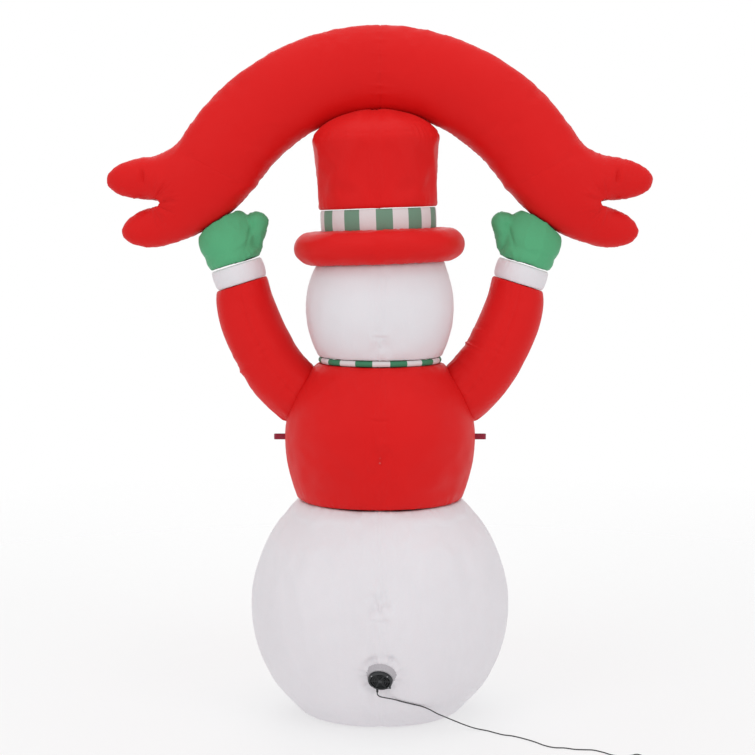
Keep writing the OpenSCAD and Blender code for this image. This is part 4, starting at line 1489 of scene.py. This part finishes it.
def make_scarf_end():
    """The striped scarf end that hangs over the front of the jacket, with a knotted look at its root."""
    x0, x1, z0, z1 = 0.055, 0.160, 0.968, 1.229
    cols, rows = 34, 90
    u, v = np.meshgrid(np.linspace(0, 1, cols), np.linspace(0, 1, rows))
    x = x0 + (x1 - x0) * u + 0.004 * np.sin(5 * v) * (1 - v)
    z = z0 + (z1 - z0) * v
    r = barrel(z, TORSO_MID, TORSO_R, 0.419, TORSO_UP)
    wave = 0.0022 * noise2(u * 4, v * 5, 201) + 0.0014 * creases(u * 6, v * 1.5, 204) * (v > 0.6) * (v - 0.6)
    hem = 0.0016 * (np.exp(-(np.minimum(u, 1 - u) / 0.05) ** 2) + np.exp(-(v / 0.02) ** 2))
    outer = 0.0075 + wave + hem
    layers = []
    for lift in (outer, outer - 0.0022 - hem * 0.5):
        rr = r + lift
        layers.append(np.stack((x, -np.sqrt(np.maximum(rr * rr - x * x, 0)), z), axis=-1))
    front, back = layers
    strip = np.concatenate((front, back[:, ::-1]), axis=1)

    def stripe(i, j):
        return (i * 6 // rows) % 2
    piece = grid_piece("scarf_end_cloth", strip, [MATERIALS["scarf_green"], MATERIALS["band_white"]],
                       (0.21, 0.246), flip=True, pick=stripe)
    close_ends(piece)
    declare_soft(piece, "striped_cloth", 0.1, "scarf_tail")


def close_ends(piece):
    mesh = bmesh.new()
    mesh.from_mesh(piece.data)
    edges = [e for e in mesh.edges if e.is_boundary]
    bmesh.ops.edgeloop_fill(mesh, edges=edges)
    mesh.to_mesh(piece.data)
    mesh.free()
    for polygon in piece.data.polygons:
        polygon.use_smooth = True


# ---------- power cord ----------
ROUTE = [(9, 426, 170), (8, 426, 162), (0, 422, 154), (-18, 411, 147), (-46, 395, 137), (-78, 377, 123),
         (-110, 358, 110), (-140, 341, 98), (-166, 328, 84), (-192, 318, 67), (-222, 307, 51),
         (-255, 296, 34), (-290, 289, 18), (-325, 287, 6), (-360, 298, 2), (-390, 326, 2), (-415, 348, 2),
         (-446, 362, 2), (-480, 391, 2), (-514, 428, 2), (-543, 468, 2), (-573, 491, 2), (-606, 495, 2),
         (-638, 510, 2), (-668, 514, 2), (-697, 518, 2), (-727, 542, 2), (-752, 571, 2), (-783, 588, 2),
         (-812, 577, 2), (-834, 564, 2), (-850, 582, 2), (-856, 612, 2), (-857, 650, 2), (-857, 690, 2)]
COIL = np.array((-887.0, 690.0, 0.0))
TAIL = [(22.2, -18.6, 12.5), (28.7, -11, 12), (38, 2, 9.5), (46.5, 14, 5.5), (51, 28, 2.6), (48, 42, 2),
        (38, 54, 2), (23, 61, 2), (8, 62, 2)]
CORD_D = 0.004


def coil_turns():
    """Turns wound inwards and outwards in layers, from the incoming cord to the tail."""
    layers = [(30, 18, 3.0, 2.0), (18, 30, 3.0, 5.5), (30, 18, 3.0, 9.0), (18, 29, 2.0 - 40 / 360, 12.5)]
    points, turned = [], 0.0
    last_z = layers[0][3]
    for begin, end, turns, z in layers:
        count = int(turns * 30)
        for i in range(count):
            t = i / count
            angle = 2 * math.pi * (turned + turns * t)
            r = begin + (end - begin) * t
            lift = last_z + (z - last_z) * min(1, t * turns / 0.22)
            points.append(COIL + (r * math.cos(angle), r * math.sin(angle), lift))
        turned += turns
        last_z = z
    return points


def make_cord():
    route = smooth_path(ROUTE, (len(ROUTE) - 1) * 5 + 1)
    tail = smooth_path([COIL + p for p in TAIL], (len(TAIL) - 1) * 5 + 1)
    points = np.concatenate((route[:-1], coil_turns(), tail)) * MM
    points[:, 2] = np.maximum(points[:, 2], CORD_D / 2)
    curve = bpy.data.curves.new("power_cord_jacket", "CURVE")
    curve.dimensions = "3D"
    curve.bevel_depth = CORD_D / 2
    curve.bevel_resolution = 3
    curve.use_fill_caps = True
    spline = curve.splines.new("POLY")
    spline.points.add(len(points) - 1)
    spline.points.foreach_set("co", np.column_stack((points, np.ones(len(points)))).ravel())
    spline.use_smooth = True
    curve.materials.append(MATERIALS["cord"])
    cord = bpy.data.objects.new("power_cord_jacket", curve)
    bpy.context.collection.objects.link(cord)
    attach(cord, "root")
    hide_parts("power_cord", "cord_coil", "cord_tail")


# ---------- carried-over CAD nodes ----------
NODE_MATERIALS = {
    "ball_tie": "tape", "torso_tie": "tape", "head_tie": "tape", "lamp_lead": "lead", "led_lamps": "lamp",
    "sleeve_tie": "tie", "blower_housing": "blower", "intake_grille": "blower", "grille_screws": "steel",
    "outlet_grille": "blower", "fan_motor": "steel", "motor_screws": "steel", "motor_bush": "brass",
    "impeller_shaft": "steel", "impeller": "fan", "cord_gland": "cord", "coil_tie": "cord",
    "plug_relief": "cord", "adapter_body": "adapter", "adapter_prongs": "steel",
}


def dress_nodes():
    for name, material in NODE_MATERIALS.items():
        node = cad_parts[name]
        if not node.material_slots:
            node.data.materials.append(MATERIALS[material])
        for slot in node.material_slots:
            slot.material = MATERIALS[material]


# ---------- stage ----------
def fading_floor(radius):
    """Pale floor that fades out into the white surroundings."""
    s = Shader("pale_floor", (0.42, 0.42, 0.423), 0.75)
    s.base.inputs["Emission Color"].default_value = (1, 1, 1, 1)
    s.base.inputs["Emission Strength"].default_value = 0.50
    s.base.inputs["Specular IOR Level"].default_value = 0.15
    s.bump(s.noise(60, 4), 0.0006, 0.15)
    axes = s.node("ShaderNodeSeparateXYZ")
    s.link(s.coords(), axes.inputs[0])
    square = s.math("ADD", s.math("MULTIPLY", axes.outputs[0], axes.outputs[0]),
                    s.math("MULTIPLY", axes.outputs[1], axes.outputs[1]))
    s.link(s.spread(s.math("SQRT", square), radius * 0.16, radius * 0.80, 1, 0), s.base.inputs["Alpha"])
    return s.material


def add_stage():
    radius = 7.0
    mesh = bmesh.new()
    bmesh.ops.create_circle(mesh, cap_ends=True, segments=128, radius=radius)
    data = bpy.data.meshes.new("floor")
    mesh.to_mesh(data)
    mesh.free()
    floor = link_piece("floor", data, [fading_floor(radius)])


def add_light(name, place, target, size, power):
    data = bpy.data.lights.new(name, "AREA")
    data.shape = "RECTANGLE"
    data.size, data.size_y = size
    data.energy = power
    light = bpy.data.objects.new(name, data)
    light.location = place
    light.rotation_euler = (Vector(target) - Vector(place)).to_track_quat("-Z", "Y").to_euler()
    bpy.context.collection.objects.link(light)


def add_world(lighting, background):
    """Even white surroundings, shown brighter behind the object than they light it."""
    world = bpy.data.worlds.new("studio")
    world.use_nodes = True
    tree = world.node_tree
    tree.nodes.clear()
    out = tree.nodes.new("ShaderNodeOutputWorld")
    mix = tree.nodes.new("ShaderNodeMixShader")
    path = tree.nodes.new("ShaderNodeLightPath")
    for socket, strength in zip(mix.inputs[1:], (lighting, background)):
        colour = tree.nodes.new("ShaderNodeBackground")
        colour.inputs["Color"].default_value = (1, 1, 1, 1)
        colour.inputs["Strength"].default_value = strength
        tree.links.new(colour.outputs[0], socket)
    tree.links.new(path.outputs["Is Camera Ray"], mix.inputs[0])
    tree.links.new(mix.outputs[0], out.inputs["Surface"])
    bpy.context.scene.world = world


def add_lights():
    add_world(0.80, 1.0)
    add_light("overhead", (0, 0.6, 5.2), (0, 0, 1.2), (4.5, 4.5), 40)
    add_light("back_left", (3.6, 4.6, 3.4), (0, 0, 1.2), (3, 3), 32)
    add_light("back_right", (-3.6, 4.6, 3.4), (0, 0, 1.2), (3, 3), 32)
    add_light("front_fill", (0.5, -5, 3.2), (0, 0, 1.2), (3.5, 3.5), 40)
    settings = bpy.context.scene.view_settings
    settings.view_transform = "Standard"
    settings.look = "None"


# ---------- assembly ----------
def stripe_picker(cols, first):
    """Which of two materials a column has; first is the angle at which a green stripe starts."""
    def pick(i, j):
        angle = 2 * math.pi * (j + 0.5) / cols - first
        return int(angle // STRIPE) % 2
    return pick


def build_envelope():
    bodies = {
        "ball": Revolved("lower_ball_cloth", ball_profile(), (78, 200), (224, 440), ball_details, QUARTERS,
                         crowd=0.55, cap=0.004, push=1.0, tuck=(0, 0.012)),
        "torso": Revolved("jacket_cloth", torso_profile(), (44, 152), (132, 380), torso_details, QUARTERS,
                          cap=0.004),
        "head": Revolved("head_cloth", head_profile(), (34, 120), (104, 320), head_details, QUARTERS,
                         cap=0.004),
        "brim": Revolved("hat_brim_cloth", brim_profile(), (26, 150), (76, 420), brim_details, (math.pi,),
                         HAT, cap=0.004, push=1.4),
        "crown": Revolved("hat_crown_cloth", crown_profile(), (44, 110), (132, 300), crown_details, QUARTERS,
                          CROWN, cap=0.004, tuck=(0.010, 0)),
    }
    banner = merged("banner_rough", banner_tubes(), 0.0082, 4)
    mittens = {side: merged(f"mitten_rough_{side}", [palm_rings(side), thumb_rings(side)], 0.0065, 4)
               for side in (-1, 1)}
    pillow = Pillow(read_points(banner.data))
    points, pressed = press_dent(puff_out(read_points(banner.data), pillow), 0.002)
    write_points(banner, points)
    for side, mitten in mittens.items():
        write_points(mitten, under_banner(side, pillow)(read_points(mitten.data)))
    names = {1: "left", -1: "right"}
    sleeve_size, sleeve_fine = (36, 44), (108, 132)
    moved = {}
    drafts = [b.prepare() for b in bodies.values()]
    drafts += [draft_sleeve(side, names[side], sleeve_size) for side in (-1, 1)]
    seam = np.clip(1 - np.abs(points[:, 1] - BANNER_Y) / 0.011, 0, 1)
    blow_up(banner, pressed.astype(float), seam, 1.6, 0.07)
    for side, mitten in mittens.items():
        spots = read_points(mitten.data)
        local = transform(spots, hand(side).inverted())
        fixed = (local[:, 2] < 0.078).astype(float)
        blow_up(mitten, fixed, np.clip(1 - np.abs(spots[:, 1] - HAND.y) / 0.008, 0, 1), 1.6, 0.07)
    moved = run_simulation()
    for draft in drafts:
        bpy.data.objects.remove(draft)
    red, white = MATERIALS["red"], MATERIALS["white"]

    def shift_of(key):
        return moved.get(bodies[key].name + "_draft")
    ball = bodies["ball"].finish([white], shift_of("ball"), reshape=shape_ball)
    cut_neck(ball)
    declare_soft(ball, "white_cloth", 1.0, "lower_ball")
    declare_soft(bodies["torso"].finish([red], shift_of("torso")), "red_cloth", 1.0, "torso")
    head = bodies["head"].finish([white], shift_of("head"), reshape=lean_head)
    declare_soft(head, "white_cloth", 1.0, "head")
    declare_soft(bodies["brim"].finish([red], shift_of("brim")), "red_cloth", 1.0, "hat_brim")
    declare_soft(bodies["crown"].finish([red], shift_of("crown")), "red_cloth", 1.0, "hat_crown")
    for side in (-1, 1):
        name = names[side]
        sleeve = make_sleeve(side, name, moved.get(name + "_sleeve_draft"), sleeve_size, sleeve_fine)
        declare_soft(sleeve, "red_cloth", 1.0, name + "_sleeve")
        mitten = mittens[side]
        finish_merged(mitten, name + "_mitten_cloth", moved.get(mitten.name), 0.006, mitten_details(side),
                      MATERIALS["green"], under_banner(side, pillow))
        declare_soft(mitten, "green_cloth", 0.9, name + "_mitten")
        cuff = Revolved(name + "_cuff_cloth", cuff_profile(), (8, 60), (44, 200), cuff_details,
                        place=hand(side), tuck=(0.012, 0.012))
        declare_soft(cuff.finish([white]), "white_cloth", 0.9, name + "_cuff")
    finish_merged(banner, "banner_cloth", moved.get(banner.name), 0.005, banner_details, red,
                  lambda p: press_dent(p, 0.001)[0])
    declare_soft(banner, "red_cloth", 1.0, "banner_arch", "left_banner_end", "right_banner_end")


def build_stripes():
    cols = STRIPES * 14
    band = Revolved("hat_band_cloth", band_profile(), (8, 60), (34, cols), band_details, place=BAND,
                    tuck=(0.008, 0.008))
    piece = band.finish([MATERIALS["band_green"], MATERIALS["band_white"]],
                        pick=stripe_picker(cols, math.radians(-14.4)))
    declare_soft(piece, "striped_cloth", 0.9, "hat_band")
    scarf = Revolved("scarf_cloth", scarf_profile(), (8, 60), (24, cols), band_details, tuck=(0.008, 0.008))
    piece = scarf.finish([MATERIALS["scarf_green"], MATERIALS["band_white"]],
                         pick=stripe_picker(cols, math.radians(6.8)))
    declare_soft(piece, "striped_cloth", 0.9, "neck_scarf")


def build_trim():
    ahead = Matrix.Rotation(math.radians(86), 4, "X")
    nose = Revolved("nose_cloth", carrot_profile(), (30, 40), (96, 96), carrot_details,
                    place=Matrix.Translation((0, -0.232, HEAD_MID + 0.007)) @ ahead, tuck=(0, 0))
    declare_soft(nose.finish([MATERIALS["orange"]]), "orange_cloth", 0.9, "carrot_nose")
    coal_and_buttons()
    for side, name in ((1, "left"), (-1, "right")):
        make_loop(side, name)
    make_base_panel()
    make_scarf_end()
    neck_cloth()


add_camera()
make_cord()
build_envelope()
build_stripes()
build_trim()
dress_nodes()
add_stage()
add_lights()
